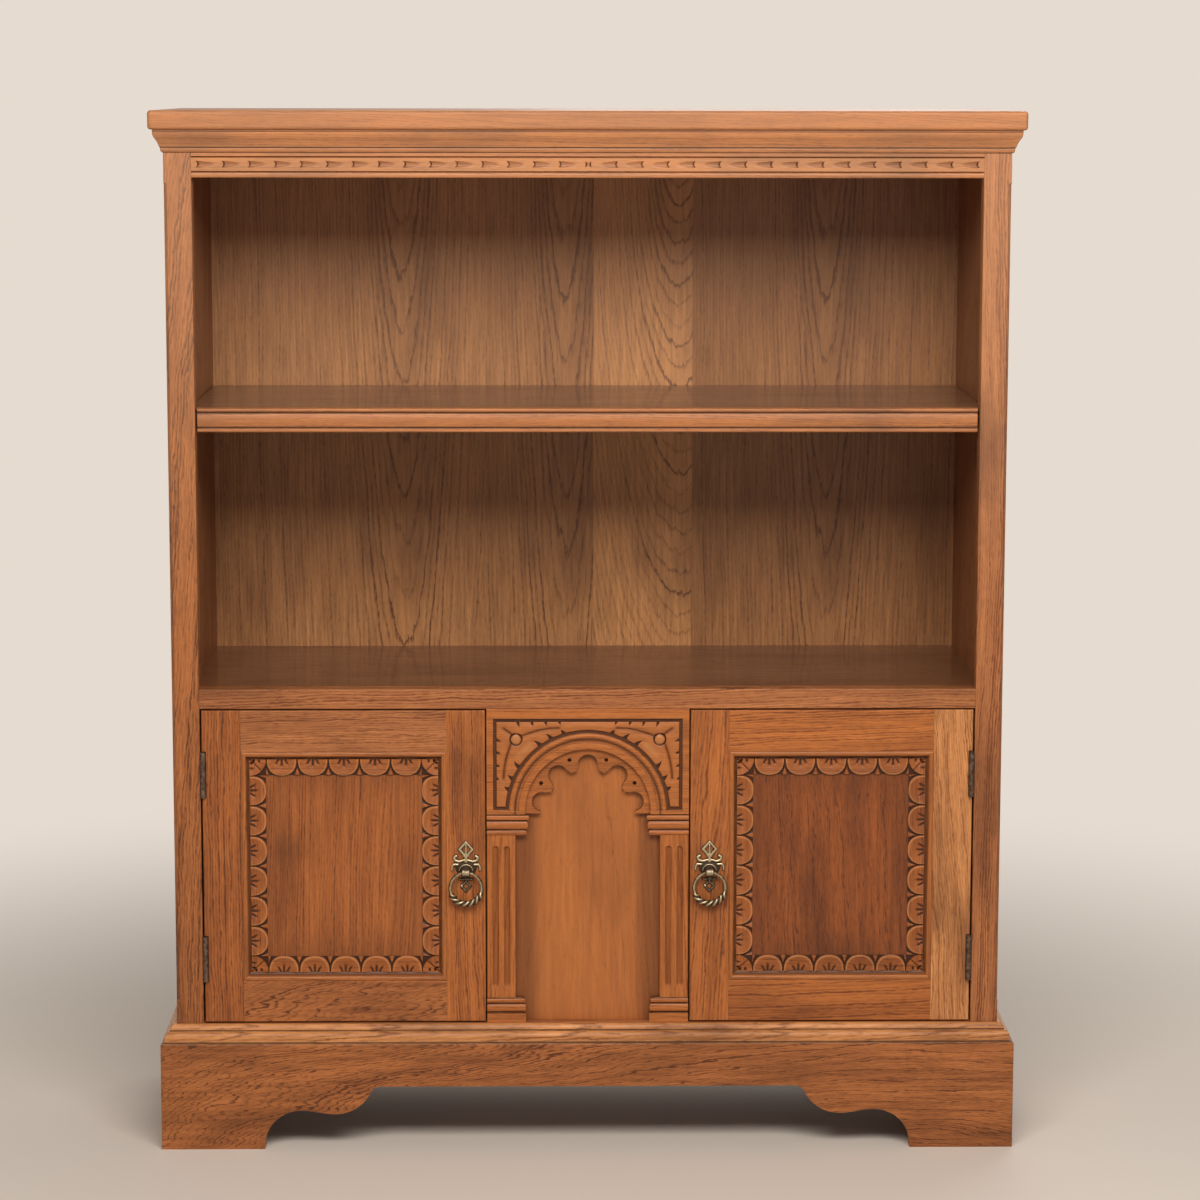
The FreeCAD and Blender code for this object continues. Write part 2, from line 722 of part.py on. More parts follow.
def panel_strips(section, width, start):
    """Four mitred strips round the panel. The section runs from the opening inwards."""
    x0 = panel_in + start
    x1 = panel_out - start
    z0 = panel_low + start
    z1 = panel_high - start
    depth = (face - BEAD_RISE, panel_y)

    def keep(corners):
        shape = outline(lambda x, z: V(x, depth[0], z), *corners)
        return shape.extrude(V(0, depth[1] - depth[0], 0))

    across = V(x1 - x0, 0, 0)
    upward = V(0, 0, z1 - z0)
    strips = [
        outline(lambda i, d: V(x0, face + d, z0 + i), *section).extrude(across),
        outline(lambda i, d: V(x0, face + d, z1 - i), *section).extrude(across),
        outline(lambda i, d: V(x0 + i, face + d, z0), *section).extrude(upward),
        outline(lambda i, d: V(x1 - i, face + d, z0), *section).extrude(upward),
    ]
    x2 = x0 + width
    x3 = x1 - width
    z2 = z0 + width
    z3 = z1 - width
    plans = [
        [(x0, z0), (x1, z0), (x3, z2), (x2, z2)],
        [(x0, z1), (x1, z1), (x3, z3), (x2, z3)],
        [(x0, z0), (x2, z2), (x2, z3), (x0, z1)],
        [(x1, z0), (x3, z2), (x3, z3), (x1, z1)],
    ]
    return [strip.common(keep(corners)) for strip, corners in zip(strips, plans)]


def panel_bead():
    """Raised bead against the frame with a cove down to the panel."""
    bead_foot = (0, BEAD_EDGE)
    bead_end = (BEAD_ROUND, BEAD_EDGE)
    cove_top = (BEAD_ROUND, COVE_TOP)
    cove_toe = (BEAD_W, PANEL_SET - COVE_TOE)
    section = [
        (0, PANEL_SET), bead_foot, bow(bead_foot, bead_end, BEAD_RISE), cove_top,
        bow(cove_top, cove_toe, -COVE_BOW), (BEAD_W, PANEL_SET),
    ]
    return Part.makeCompound(panel_strips(section, BEAD_W, 0))


def carved_border():
    """Mitred flat strips inside the bead, with an eased inner edge: the blanks of the carving."""
    ground = PANEL_SET - BORDER_T
    section = [
        (0, PANEL_SET), (0, ground), (BORDER_W - BORDER_EASE, ground),
        (BORDER_W, ground + BORDER_EASE), (BORDER_W, PANEL_SET),
    ]
    return Part.makeCompound(panel_strips(section, BORDER_W, BEAD_W))


def knuckle_lengths(start, own):
    """Z limits of every second knuckle of a hinge: own is 0 for the frame leaf, 1 for the door leaf."""
    pitch = HINGE_H / KNUCKLES
    gap = HINGE_PLAY / 2
    return [(start + n * pitch + gap, start + (n + 1) * pitch - gap) for n in range(own, KNUCKLES, 2)]


def hinge_leaf(start, own, x):
    """Leaf between two X limits, rolled round the pin at its own knuckles."""
    clear_y = hinge_y + HINGE_R + HINGE_PLAY
    leaf = block(x, (clear_y, leaf_back), (start, start + HINGE_H))
    for z in knuckle_lengths(start, own):
        leaf = leaf.fuse(block(x, (hinge_y, clear_y), z))
        leaf = leaf.fuse(rod_z(hinge_x, hinge_y, z, HINGE_R))
    bore = rod_z(hinge_x, hinge_y, (start, start + HINGE_H), PIN_R + PIN_PLAY)
    return leaf.cut(bore).removeSplitter()


def hinge_frame_leaves():
    leaves = [hinge_leaf(start, 0, (opening - LEAF_T, opening)) for start in hinge_starts]
    return Part.makeCompound(leaves + [mirrored(leaf) for leaf in leaves])


def hinge_door_leaves():
    return Part.makeCompound([hinge_leaf(start, 1, (leaf_x, leaf_x + LEAF_T)) for start in hinge_starts])


def hinge_pins():
    """Pins with a button head over each end knuckle."""
    pins = []
    for start in hinge_starts:
        low = start + HINGE_PLAY / 2
        high = start + HINGE_H - HINGE_PLAY / 2
        pin = rod_z(hinge_x, hinge_y, (low, high), PIN_R)
        pin = pin.fuse(rod_z(hinge_x, hinge_y, (low - PIN_HEAD, low), HINGE_R))
        pin = pin.fuse(rod_z(hinge_x, hinge_y, (high, high + PIN_HEAD), HINGE_R))
        pins += [pin, mirrored(pin)]
    return Part.makeCompound(pins)


def pull_plate():
    """Cast backplate: pierced finial, pair of curls, pointed body and a pendant."""
    depth = (face - PLATE_T, face)

    def disc(x, z, radius):
        return rod_y(pull_x + x, depth, pull_z + z, radius)

    def kite(wide, low, middle, high):
        corners = [(-wide, middle), (0, high), (wide, middle), (0, low)]
        shape = outline(lambda x, z: V(pull_x + x, depth[0], pull_z + z), *corners)
        return shape.extrude(V(0, PLATE_T, 0))

    plate = disc(0, 0, PLATE_R)
    plate = plate.fuse(kite(ARM_W, -BODY_DOWN, ARM_UP, BODY_UP))
    plate = plate.fuse(kite(FINIAL_W, FINIAL_LOW, FINIAL_MID, FINIAL_TOP))
    plate = plate.fuse(kite(PENDANT_W, PENDANT_LOW, PENDANT_MID, 0))
    curl_z = pull_z + CURL_UP
    plate = plate.fuse(block((pull_x - CURL_AT, pull_x + CURL_AT), depth, (curl_z - CURL_R, curl_z)))
    for side in (-1, 1):
        plate = plate.fuse(disc(side * CURL_AT, CURL_UP, CURL_R))
    pierced = kite(FINIAL_W - FINIAL_RIM, FINIAL_LOW + FINIAL_RIM, FINIAL_MID, FINIAL_TOP - FINIAL_RIM)
    plate = plate.cut(pierced)
    plate = plate.cut(disc(0, 0, POST_R + HOLE_PLAY))
    return plate.removeSplitter()


def pull_post():
    """Drum with an eye for the ring, on a neck, a collar and a bolt through the door, and its nut."""
    collar = (face - PLATE_T - COLLAR_T, face - PLATE_T)
    bolt_end = door_back + NUT_T + BOLT_END
    post = rod_x((pull_x - POST_WIDE, pull_x + POST_WIDE), eye_y, pull_z, POST_HEAD)
    neck_x = (pull_x - POST_NECK, pull_x + POST_NECK)
    neck_z = (pull_z - POST_NECK, pull_z + POST_NECK)
    post = post.fuse(block(neck_x, (eye_y, collar[1]), neck_z))
    post = post.fuse(rod_y(pull_x, collar, pull_z, POST_HEAD))
    post = post.fuse(rod_y(pull_x, (collar[0], bolt_end), pull_z, POST_R))
    post = post.cut(rod_x((pull_x - 2 * POST_WIDE, pull_x + 2 * POST_WIDE), eye_y, pull_z, EYE_R))
    corners = [(NUT_R * math.sin(turn), NUT_R * math.cos(turn)) for turn in NUT_TURNS]
    nut = outline(lambda x, z: V(pull_x + x, door_back, pull_z + z), *corners).extrude(V(0, NUT_T, 0))
    nut = nut.cut(rod_y(pull_x, (door_back, door_back + NUT_T), pull_z, POST_R + PIN_PLAY))
    return Part.makeCompound([post.removeSplitter(), nut])


def ring_pull():
    """Loose ring through the eye: a thin bar that tapers into a thick stretch at the bottom."""
    middle = V(pull_x, eye_y, pull_z - RING_R)

    def section(index):
        """Outline across the bar, counted round from the eye."""
        turn = 360 * index / RING_SPANS
        angle = math.radians(turn)
        outward = V(math.sin(angle), 0, math.cos(angle))
        radius = GRIP_R if abs(turn - 180) <= GRIP_TURN / 2 else RING_THIN
        corners = []
        for side in range(RING_SIDES + 1):
            around = math.radians(360 * side / RING_SIDES)
            out = RING_R + radius * math.cos(around)
            corners.append(middle + outward * out + V(0, radius * math.sin(around), 0))
        return Part.makePolygon(corners)

    sections = [section(index) for index in range(RING_SPANS)]
    spans = RING_SPANS // 2
    right = Part.makeLoft(sections[:spans + 1], True, True)
    left = Part.makeLoft(sections[spans:] + sections[:1], True, True)
    return right.fuse(left).removeSplitter()


def catch_places():
    start = door_in + STOP_LAP + CATCH_SIDE
    return start, start + CATCH_L


def door_catches():
    """Magnetic catches under the deck."""
    front = door_back + STRIKE_T + CATCH_AIR
    return both_sides(block(catch_places(), (front, front + CATCH_D), (deck_under - CATCH_H, deck_under)))


def catch_strike():
    low, high = catch_places()
    height = (door_high - CATCH_H, door_high - STRIKE_DOWN)
    return block((low + STRIKE_IN, high - STRIKE_IN), (door_back, door_back + STRIKE_T), height)


def cabinet():
    """Every node by name."""
    nodes = {}
    cornice_front, cornice_side = cornice()
    mould_front, mould_side = base_moulding()
    plinth_front, plinth_side = plinth()
    nodes["top_board"] = top_board()
    nodes["cornice_front"] = cornice_front
    nodes["cornice_returns"] = both_sides(cornice_side)
    nodes["frieze_rail"] = frieze_rail()
    nodes["back_panel"] = back_panel()
    nodes["middle_shelf"] = middle_shelf()
    nodes["shelf_lipping"] = shelf_lipping()
    nodes["shelf_studs"] = shelf_studs()
    nodes["deck_board"] = deck_board()
    nodes["deck_rail"] = deck_rail()
    nodes["floor_board"] = floor_board()
    nodes["base_rail"] = base_rail()
    nodes["base_moulding_front"] = mould_front
    nodes["base_moulding_returns"] = both_sides(mould_side)
    nodes["plinth_front"] = plinth_front
    nodes["plinth_back"] = plinth_back()
    nodes["corner_blocks"] = corner_blocks()
    nodes["centre_field"] = centre_field()
    nodes["centre_posts"] = centre_posts()
    nodes["arch_head"] = arch_head()
    nodes["arch_tracery"] = arch_tracery()
    nodes["pilaster_capitals"] = both_sides(pilaster_capital())
    nodes["pilaster_bases"] = both_sides(pilaster_base())
    nodes["hinge_frame_leaves"] = hinge_frame_leaves()
    nodes["hinge_pins"] = hinge_pins()
    nodes["door_catches"] = door_catches()
    hinge_stile, lock_stile, top_rail, bottom_rail = door_frame()
    handed = {
        "side_panel": side_panel(),
        "front_stile": front_stile(),
        "plinth": plinth_side,
        "pilaster": pilaster(),
        "hinge_stile": hinge_stile,
        "lock_stile": lock_stile,
        "top_rail": top_rail,
        "bottom_rail": bottom_rail,
        "door_panel": door_panel(),
        "panel_bead": panel_bead(),
        "carved_border": carved_border(),
        "door_hinge_leaves": hinge_door_leaves(),
        "pull_plate": pull_plate(),
        "pull_post": pull_post(),
        "ring_pull": ring_pull(),
        "catch_strike": catch_strike(),
    }
    for name, shape in handed.items():
        nodes["right_" + name] = shape
        nodes["left_" + name] = mirrored(shape)
    return nodes


os.makedirs("parts", exist_ok=True)
for name, shape in cabinet().items():
    shape.exportStep("parts/%s.step" % name)
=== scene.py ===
import math

import bmesh
import bpy
import numpy as np
from mathutils import Matrix, Vector


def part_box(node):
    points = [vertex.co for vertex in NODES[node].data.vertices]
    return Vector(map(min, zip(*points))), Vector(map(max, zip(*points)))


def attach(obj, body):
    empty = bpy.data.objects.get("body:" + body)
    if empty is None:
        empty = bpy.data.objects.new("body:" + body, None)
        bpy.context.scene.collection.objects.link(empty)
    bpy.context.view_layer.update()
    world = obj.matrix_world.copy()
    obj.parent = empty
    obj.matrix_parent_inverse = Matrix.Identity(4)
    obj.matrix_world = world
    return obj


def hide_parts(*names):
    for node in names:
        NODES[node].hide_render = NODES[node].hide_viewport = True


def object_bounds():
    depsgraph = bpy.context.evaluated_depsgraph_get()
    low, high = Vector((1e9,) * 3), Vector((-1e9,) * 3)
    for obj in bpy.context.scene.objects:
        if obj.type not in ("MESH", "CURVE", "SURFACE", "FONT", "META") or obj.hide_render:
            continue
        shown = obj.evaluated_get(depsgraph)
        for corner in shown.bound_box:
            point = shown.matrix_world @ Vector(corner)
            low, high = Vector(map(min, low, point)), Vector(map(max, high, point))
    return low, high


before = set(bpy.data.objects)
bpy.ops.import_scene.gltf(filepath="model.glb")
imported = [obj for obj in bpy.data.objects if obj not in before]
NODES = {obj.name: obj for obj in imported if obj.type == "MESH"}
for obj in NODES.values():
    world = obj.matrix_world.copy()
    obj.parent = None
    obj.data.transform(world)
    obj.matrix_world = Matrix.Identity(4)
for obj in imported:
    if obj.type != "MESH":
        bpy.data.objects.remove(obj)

bl_info = {
    "name": "Oak bookcase cabinet",
    "version": (1, 0, 0),
    "blender": (4, 5, 0),
    "location": "3D View > Sidebar > Bookcase",
    "description": "Carving, brass pulls and oak finish round a bookcase cabinet",
    "category": "Object",
}

MM = 0.001
CAD_LOW, CAD_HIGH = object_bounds()
SIDES = (("left", -1), ("right", 1))


def shade(red, green, blue):
    """Linear colour from the 0 to 255 values that a painter's chart gives."""
    parts = []
    for value in (red, green, blue):
        value = value / 255
        parts.append(value / 12.92 if value <= 0.04045 else ((value + 0.055) / 1.055) ** 2.4)
    return tuple(parts)


def colour_setting(name, description, red, green, blue):
    return bpy.props.FloatVectorProperty(
        name=name, description=description, subtype="COLOR", size=3, min=0, max=1,
        default=shade(red, green, blue))


def length_setting(name, description, millimetres):
    return bpy.props.FloatProperty(
        name=name, description=description, default=millimetres * MM, min=0,
        subtype="DISTANCE", unit="LENGTH", precision=5)


def count_setting(name, description, count):
    return bpy.props.IntProperty(name=name, description=description, default=count, min=1)


class OakFinish(bpy.types.PropertyGroup):
    """Colours of the stained and polished oak."""

    front: colour_setting("Front", "Stiles, rails and sides", 194, 124, 74)
    front_grain: colour_setting("Front grain", "Dark grain of the front", 116, 62, 32)
    cap: colour_setting("Cap", "Top board, frieze and mouldings", 195, 119, 60)
    cap_grain: colour_setting("Cap grain", "Grain of the top and mouldings", 118, 64, 33)
    amber: colour_setting("Amber", "Redder rails, pilasters and arch", 200, 119, 58)
    amber_grain: colour_setting("Amber grain", "Grain of the redder rails", 118, 62, 29)
    aged: colour_setting("Aged", "Mottled stile, rail and plinth", 196, 120, 66)
    aged_grain: colour_setting("Aged grain", "Grain of the mottled boards", 96, 52, 26)
    # Pale on the base mouldings is partly painted highlight.
    pale: colour_setting("Pale", "Lighter yellowish stile and base moulding", 226, 154, 94)
    pale_grain: colour_setting("Pale grain", "Grain of the lighter stile", 142, 86, 46)
    panel: colour_setting("Panel", "Left door and both carved borders", 188, 110, 55)
    panel_grain: colour_setting("Panel grain", "Grain of the left door", 100, 51, 25)
    russet: colour_setting("Russet", "Darker right panel", 164, 90, 42)
    russet_grain: colour_setting("Russet grain", "Grain of the darker panel", 88, 44, 23)
    field: colour_setting("Field", "Smooth centre field", 192, 116, 60)
    field_grain: colour_setting("Field grain", "Grain of the centre field", 146, 84, 42)
    back: colour_setting("Back", "Veneer of the back panel", 208, 146, 90)
    back_grain: colour_setting("Back grain", "Dark figure of the back veneer", 98, 60, 35)
    # Shelf and Inside are darker than the front tones, partly as painted shade inside the cabinet.
    shelf: colour_setting("Shelf", "Polished shelf top", 119, 76, 48)
    shelf_grain: colour_setting("Shelf grain", "Grain of the shelf top", 72, 42, 26)
    inside: colour_setting("Inside", "Inner boards", 124, 79, 49)
    inside_grain: colour_setting("Inside grain", "Grain of the inner boards", 88, 52, 31)
    # Stain also paints shade: it darkens sinkings, carved hollows, the inner faces of the sides and round
    # the arch and door panels.
    stain_and_shade: colour_setting("Stain", "Dark stain left in hollows and blotches", 78, 40, 20)
    # Dirt also paints shade: it darkens quirks, the bottoms of sinkings and the deepest cuts, where shade
    # falls.
    dirt_and_shade: colour_setting("Dirt", "Wax and dirt in the deepest cuts", 40, 20, 10)
    # Wear also paints highlights on lunette rims, carved crests and some mouldings.
    wear_and_highlight: colour_setting("Wear", "Rubbed arrises", 216, 160, 106)
    # Faded is painted light: the wood is painted lighter towards the top, where more light falls.
    painted_top_light: colour_setting("Faded", "Wood bleached by daylight, towards the top", 222, 172, 132)


class MetalFinish(bpy.types.PropertyGroup):
    """Colours of the hardware."""

    # The brass colours are spread by a mask that is partly worn crests and patina, partly painted highlight
    # and shade.
    brass: colour_setting("Brass", "Rubbed crests of the pulls", 184, 167, 134)
    brass_dark: colour_setting("Brass hollows", "Tarnish in the hollows of the pulls", 78, 63, 52)
    bronze: colour_setting("Bronze", "Rubbed spots of the hinges", 158, 134, 116)
    bronze_dark: colour_setting("Bronze patina", "Patina of the hinges", 76, 60, 52)
    steel: colour_setting("Steel", "Plated studs, nuts and strikes", 186, 184, 178)
    steel_dark: colour_setting("Steel stain", "Dull spots on the steel", 112, 108, 100)
    plastic: colour_setting("Catch", "Brown catch bodies", 74, 46, 30)
    plastic_dark: colour_setting("Catch mottle", "Darker mottle of the catches", 50, 31, 20)


class FriezeCut(bpy.types.PropertyGroup):
    """Bead, grooves and gouge cuts of the frieze."""

    bead: length_setting("Bead", "Height of the bead along the lower edge", 5.6)
    bead_round: length_setting("Bead round", "Depth of the bead's rounding", 1.2)
    groove: length_setting("Groove", "Half the width of each groove", 0.8)
    groove_deep: length_setting("Groove depth", "Depth of each groove", 2.2)
    band: length_setting("Band", "Height of the band between the grooves", 14.4)
    band_deep: length_setting("Band depth", "Band behind the face", 0.6)
    fillet: length_setting("Fillet", "Plain strip over the upper groove", 3.8)
    pitch: length_setting("Pitch", "From one gouge cut to the next", 27.9)
    first: length_setting("First cut", "From the middle to the first cut", 4.5)
    run: length_setting("Run", "Length of a gouge cut", 20.0)
    stab: length_setting("Stab", "Length of the two cuts at the middle", 2.4)
    wide: length_setting("Half height", "Half the height of a cut at its wall", 3.7)
    tip: length_setting("Tip", "Half the height of a cut at its tip", 1.9)
    deep: length_setting("Depth", "Depth of a cut at its wall", 2.0)
    bulge: length_setting("Bulge", "Bow of a cut's wall towards the middle", 2.1)


class BorderCut(bpy.types.PropertyGroup):
    """Lunettes round the door panels."""

    across: count_setting("Across", "Lunettes along the top and bottom", 5)
    upright: count_setting("Upright", "Lunettes along each side", 6)
    half: length_setting("Half width", "Half the width of a lunette", 16.7)
    tall: length_setting("Height", "Height of a lunette", 18.6)
    ground: length_setting("Ground", "Sunk ground over the panel", 0.35)
    dish: length_setting("Dish", "Middle of a lunette over the panel", 1.1)
    rise: length_setting("Rise", "Rise of a lunette towards its rim", 2.6)
    rim: length_setting("Rim", "Fall of the rolled rim", 1.3)
    gouge_set: length_setting("Gouge spacing", "Between the gouges of a lunette", 7.0)
    gouge_long: length_setting("Gouge length", "Length of a gouge", 9.4)
    gouge_wide: length_setting("Gouge width", "Half the width of a gouge", 1.6)
    gouge_deep: length_setting("Gouge depth", "Depth of a gouge", 1.9)
    dart: length_setting("Dart", "Length of the dart between two lunettes", 9.5)
    dart_wide: length_setting("Dart width", "Half the width of the dart", 4.4)
    dart_high: length_setting("Dart height", "Height of the dart over the panel", 2.0)


class LeafCut(bpy.types.PropertyGroup):
    """Leaves in the spandrels of the arch."""

    margin: length_setting("Margin", "Bare ground round the leaves", 3.3)
    high: length_setting("Height", "Leaf over its ground", 2.6)
    crest: length_setting("Boss height", "Top of the boss over the ground", 3.0)
    boss: length_setting("Boss", "Radius of the boss", 5.5)
    vein: length_setting("Vein", "Half the width of a vein", 1.3)
    vein_deep: length_setting("Vein depth", "Depth of a vein", 1.6)
    fold: length_setting("Fold", "Reach of the soft valley beside a vein", 4.0)
    notch: length_setting("Notch", "Half the width of a notch at the edge", 1.9)
    hook: length_setting("Hook", "Half the width of a hook at the arch", 2.8)


class PullWork(bpy.types.PropertyGroup):
    """Cast plates, eyes and twisted rings."""

    reach: length_setting("Reach", "From the door face to the middle of the eye", 8.5)
    finial: length_setting("Finial", "From the middle of the eye to the top of the plate", 34.0)
    drum: length_setting("Drum", "Half the length of the eye", 4.5)
    drum_round: length_setting("Drum radius", "Outer radius of the eye", 5.6)
    eye: length_setting("Eye", "Radius of the hole", 3.5)
    bolt: length_setting("Bolt", "Radius of the bolt", 2.5)
    nut: length_setting("Nut", "Radius of the nut across its corners", 5.0)
    nut_thick: length_setting("Nut thickness", "Thickness of the nut", 4.0)
    ring: length_setting("Ring", "Radius of the ring's middle line", 17.6)
    thin: length_setting("Ring bar", "Radius of the bar through the eye", 1.8)
    valley: length_setting("Twist valley", "Radius of the grip between two strands", 2.0)
    ridge: length_setting("Twist ridge", "Height of a strand over the valley", 1.7)
    strand: length_setting("Strand", "From one strand to the next", 6.8)


class HingeWork(bpy.types.PropertyGroup):
    """Screws of the butt hinges."""

    leaf: length_setting("Leaf", "Thickness of a leaf", 1.5)
    gap: length_setting("Gap", "Between the closed leaves", 0.4)
    length: length_setting("Length", "Length of a hinge", 49.0)
    set_back: length_setting("Set back", "Screws from the back edge of the leaves", 6.5)
    head: length_setting("Head", "Radius of a screw head", 2.6)
    slot: length_setting("Slot", "Half the width of its slot", 0.35)
    proud: length_setting("Proud", "Head over its leaf", 0.12)


class StageLook(bpy.types.PropertyGroup):
    """Floor, light and camera."""

    floor: colour_setting("Floor", "Plain pale floor", 228, 217, 205)
    wall: colour_setting("Background", "Seen behind the cabinet", 230, 219, 208)
    camera_place: bpy.props.FloatVectorProperty(
        name="Camera", description="Camera position", subtype="TRANSLATION", unit="LENGTH", size=3,
        default=(-0.0460, -4.0093, 1.1794))
    camera_yaw: bpy.props.FloatProperty(
        name="Yaw", description="Camera turned to the right", unit="ROTATION", default=math.radians(0.878))
    camera_pitch: bpy.props.FloatProperty(
        name="Pitch", description="Camera tilted down", unit="ROTATION", default=math.radians(8.289))
    camera_roll: bpy.props.FloatProperty(
        name="Roll", description="Camera turned about its axis", unit="ROTATION",
        default=math.radians(0.0739))
    lens: bpy.props.FloatProperty(
        name="Lens", description="Focal length on a 36 mm sensor", unit="CAMERA", default=106.636)
    key_power: bpy.props.FloatProperty(
        name="Key light", description="Large soft light over the camera", unit="POWER", default=48.0)
    fill_power: bpy.props.FloatProperty(
        name="Fill light", description="Soft light from the front", unit="POWER", default=6.0)
    rear_power: bpy.props.FloatProperty(
        name="Rear light", description="Soft light on the back and the top", unit="POWER", default=26.0)
    sky: bpy.props.FloatProperty(
        name="Room light", description="Even light from all round", default=0.15, min=0)


class Wiring:
    """Adds nodes to a tree. A value that is a socket is linked, any other is set."""

    def __init__(self, tree):
        self.tree = tree

    def feed(self, socket, value):
        if isinstance(value, bpy.types.NodeSocket):
            self.tree.links.new(value, socket)
        else:
            socket.default_value = value

    def add(self, kind, **inputs):
        node = self.tree.nodes.new("ShaderNode" + kind)
        for name, value in inputs.items():
            self.feed(node.inputs[name.replace("_", " ")], value)
        return node

    def math(self, operation, *values, clamp=False):
        node = self.tree.nodes.new("ShaderNodeMath")
        node.operation = operation
        node.use_clamp = clamp
        for socket, value in zip(node.inputs, values):
            self.feed(socket, value)
        return node.outputs[0]

    def vector(self, operation, *values):
        node = self.tree.nodes.new("ShaderNodeVectorMath")
        node.operation = operation
        for socket, value in zip(node.inputs, values):
            self.feed(socket, value)
        return node.outputs["Value" if operation in ("DOT_PRODUCT", "LENGTH") else "Vector"]

    def split(self, vector):
        return self.add("SeparateXYZ", Vector=vector).outputs

    def join(self, x, y, z):
        return self.add("CombineXYZ", X=x, Y=y, Z=z).outputs[0]

    def noise(self, place, stretch, detail=2.0, roughness=0.5):
        """Cloud noise with the given number of waves to the metre along each axis."""
        node = self.add("TexNoise", Scale=1.0, Detail=detail, Roughness=roughness,
                        Vector=self.vector("MULTIPLY", place, stretch))
        return node.outputs

    def line_noise(self, value):
        """Cloud noise along a line."""
        node = self.add("TexNoise", Scale=1.0, Detail=2.0)
        node.noise_dimensions = "1D"
        self.feed(node.inputs["W"], value)
        return node.outputs[0]

    def chance(self, value):
        """A number from 0 to 1 that is the same for the same value."""
        node = self.tree.nodes.new("ShaderNodeTexWhiteNoise")
        node.noise_dimensions = "1D"
        self.feed(node.inputs["W"], value)
        return node.outputs[0]

    def step(self, value, low, high):
        """Smooth step from 0 at low to 1 at high."""
        node = self.add("MapRange", Value=value)
        node.interpolation_type = "SMOOTHSTEP"
        self.feed(node.inputs["From Min"], low)
        self.feed(node.inputs["From Max"], high)
        return node.outputs[0]

    def mix(self, share, first, second):
        node = self.tree.nodes.new("ShaderNodeMix")
        node.data_type = "RGBA"
        self.feed(node.inputs[0], share)
        for socket, value in ((node.inputs[6], first), (node.inputs[7], second)):
            self.feed(socket, value if isinstance(value, bpy.types.NodeSocket) else (*value, 1.0))
        return node.outputs[2]

    def tint(self, mask, amount, colour, second):
        """Second colour over the first, at the given strength where the mask is 1."""
        return self.mix(self.math("MULTIPLY", mask, amount), colour, second)

    def rest(self, share):
        """What a share leaves of 1."""
        return self.math("SUBTRACT", 1.0, share)

    def attribute(self, name):
        """A value noted on the vertices of a piece."""
        node = self.tree.nodes.new("ShaderNodeAttribute")
        node.attribute_name = name
        return node.outputs["Fac"]


def effect_group(name, inputs, outputs):
    """Empty node group with its sockets, and the wiring to fill it. Sockets are (kind, name, default)."""
    tree = bpy.data.node_groups.new(name, "ShaderNodeTree")
    for kind, label, default in inputs:
        socket = tree.interface.new_socket(label, in_out="INPUT", socket_type="NodeSocket" + kind)
        if default is not None:
            socket.default_value = default
    for kind, label in outputs:
        tree.interface.new_socket(label, in_out="OUTPUT", socket_type="NodeSocket" + kind)
    entry = tree.nodes.new("NodeGroupInput")
    leave = tree.nodes.new("NodeGroupOutput")
    return tree, Wiring(tree), entry.outputs, leave.inputs


WHITE = (1.0, 1.0, 1.0, 1.0)

# Noises in oak, as waves to the metre along the grain, across it and into it.
SWING = (1.6, 7.0, 7.0)
RIPPLE = (26.0, 130.0, 130.0)
TICK = (120.0, 480.0, 480.0)
FIBRE = (14.0, 230.0, 230.0)
PORE = (110.0, 560.0, 560.0)
BLOTCH = (5.0, 14.0, 14.0)
DRIFT = 45.0
# How dark plain wood is between its colour and its grain's.
PLAIN_WOOD = 0.34


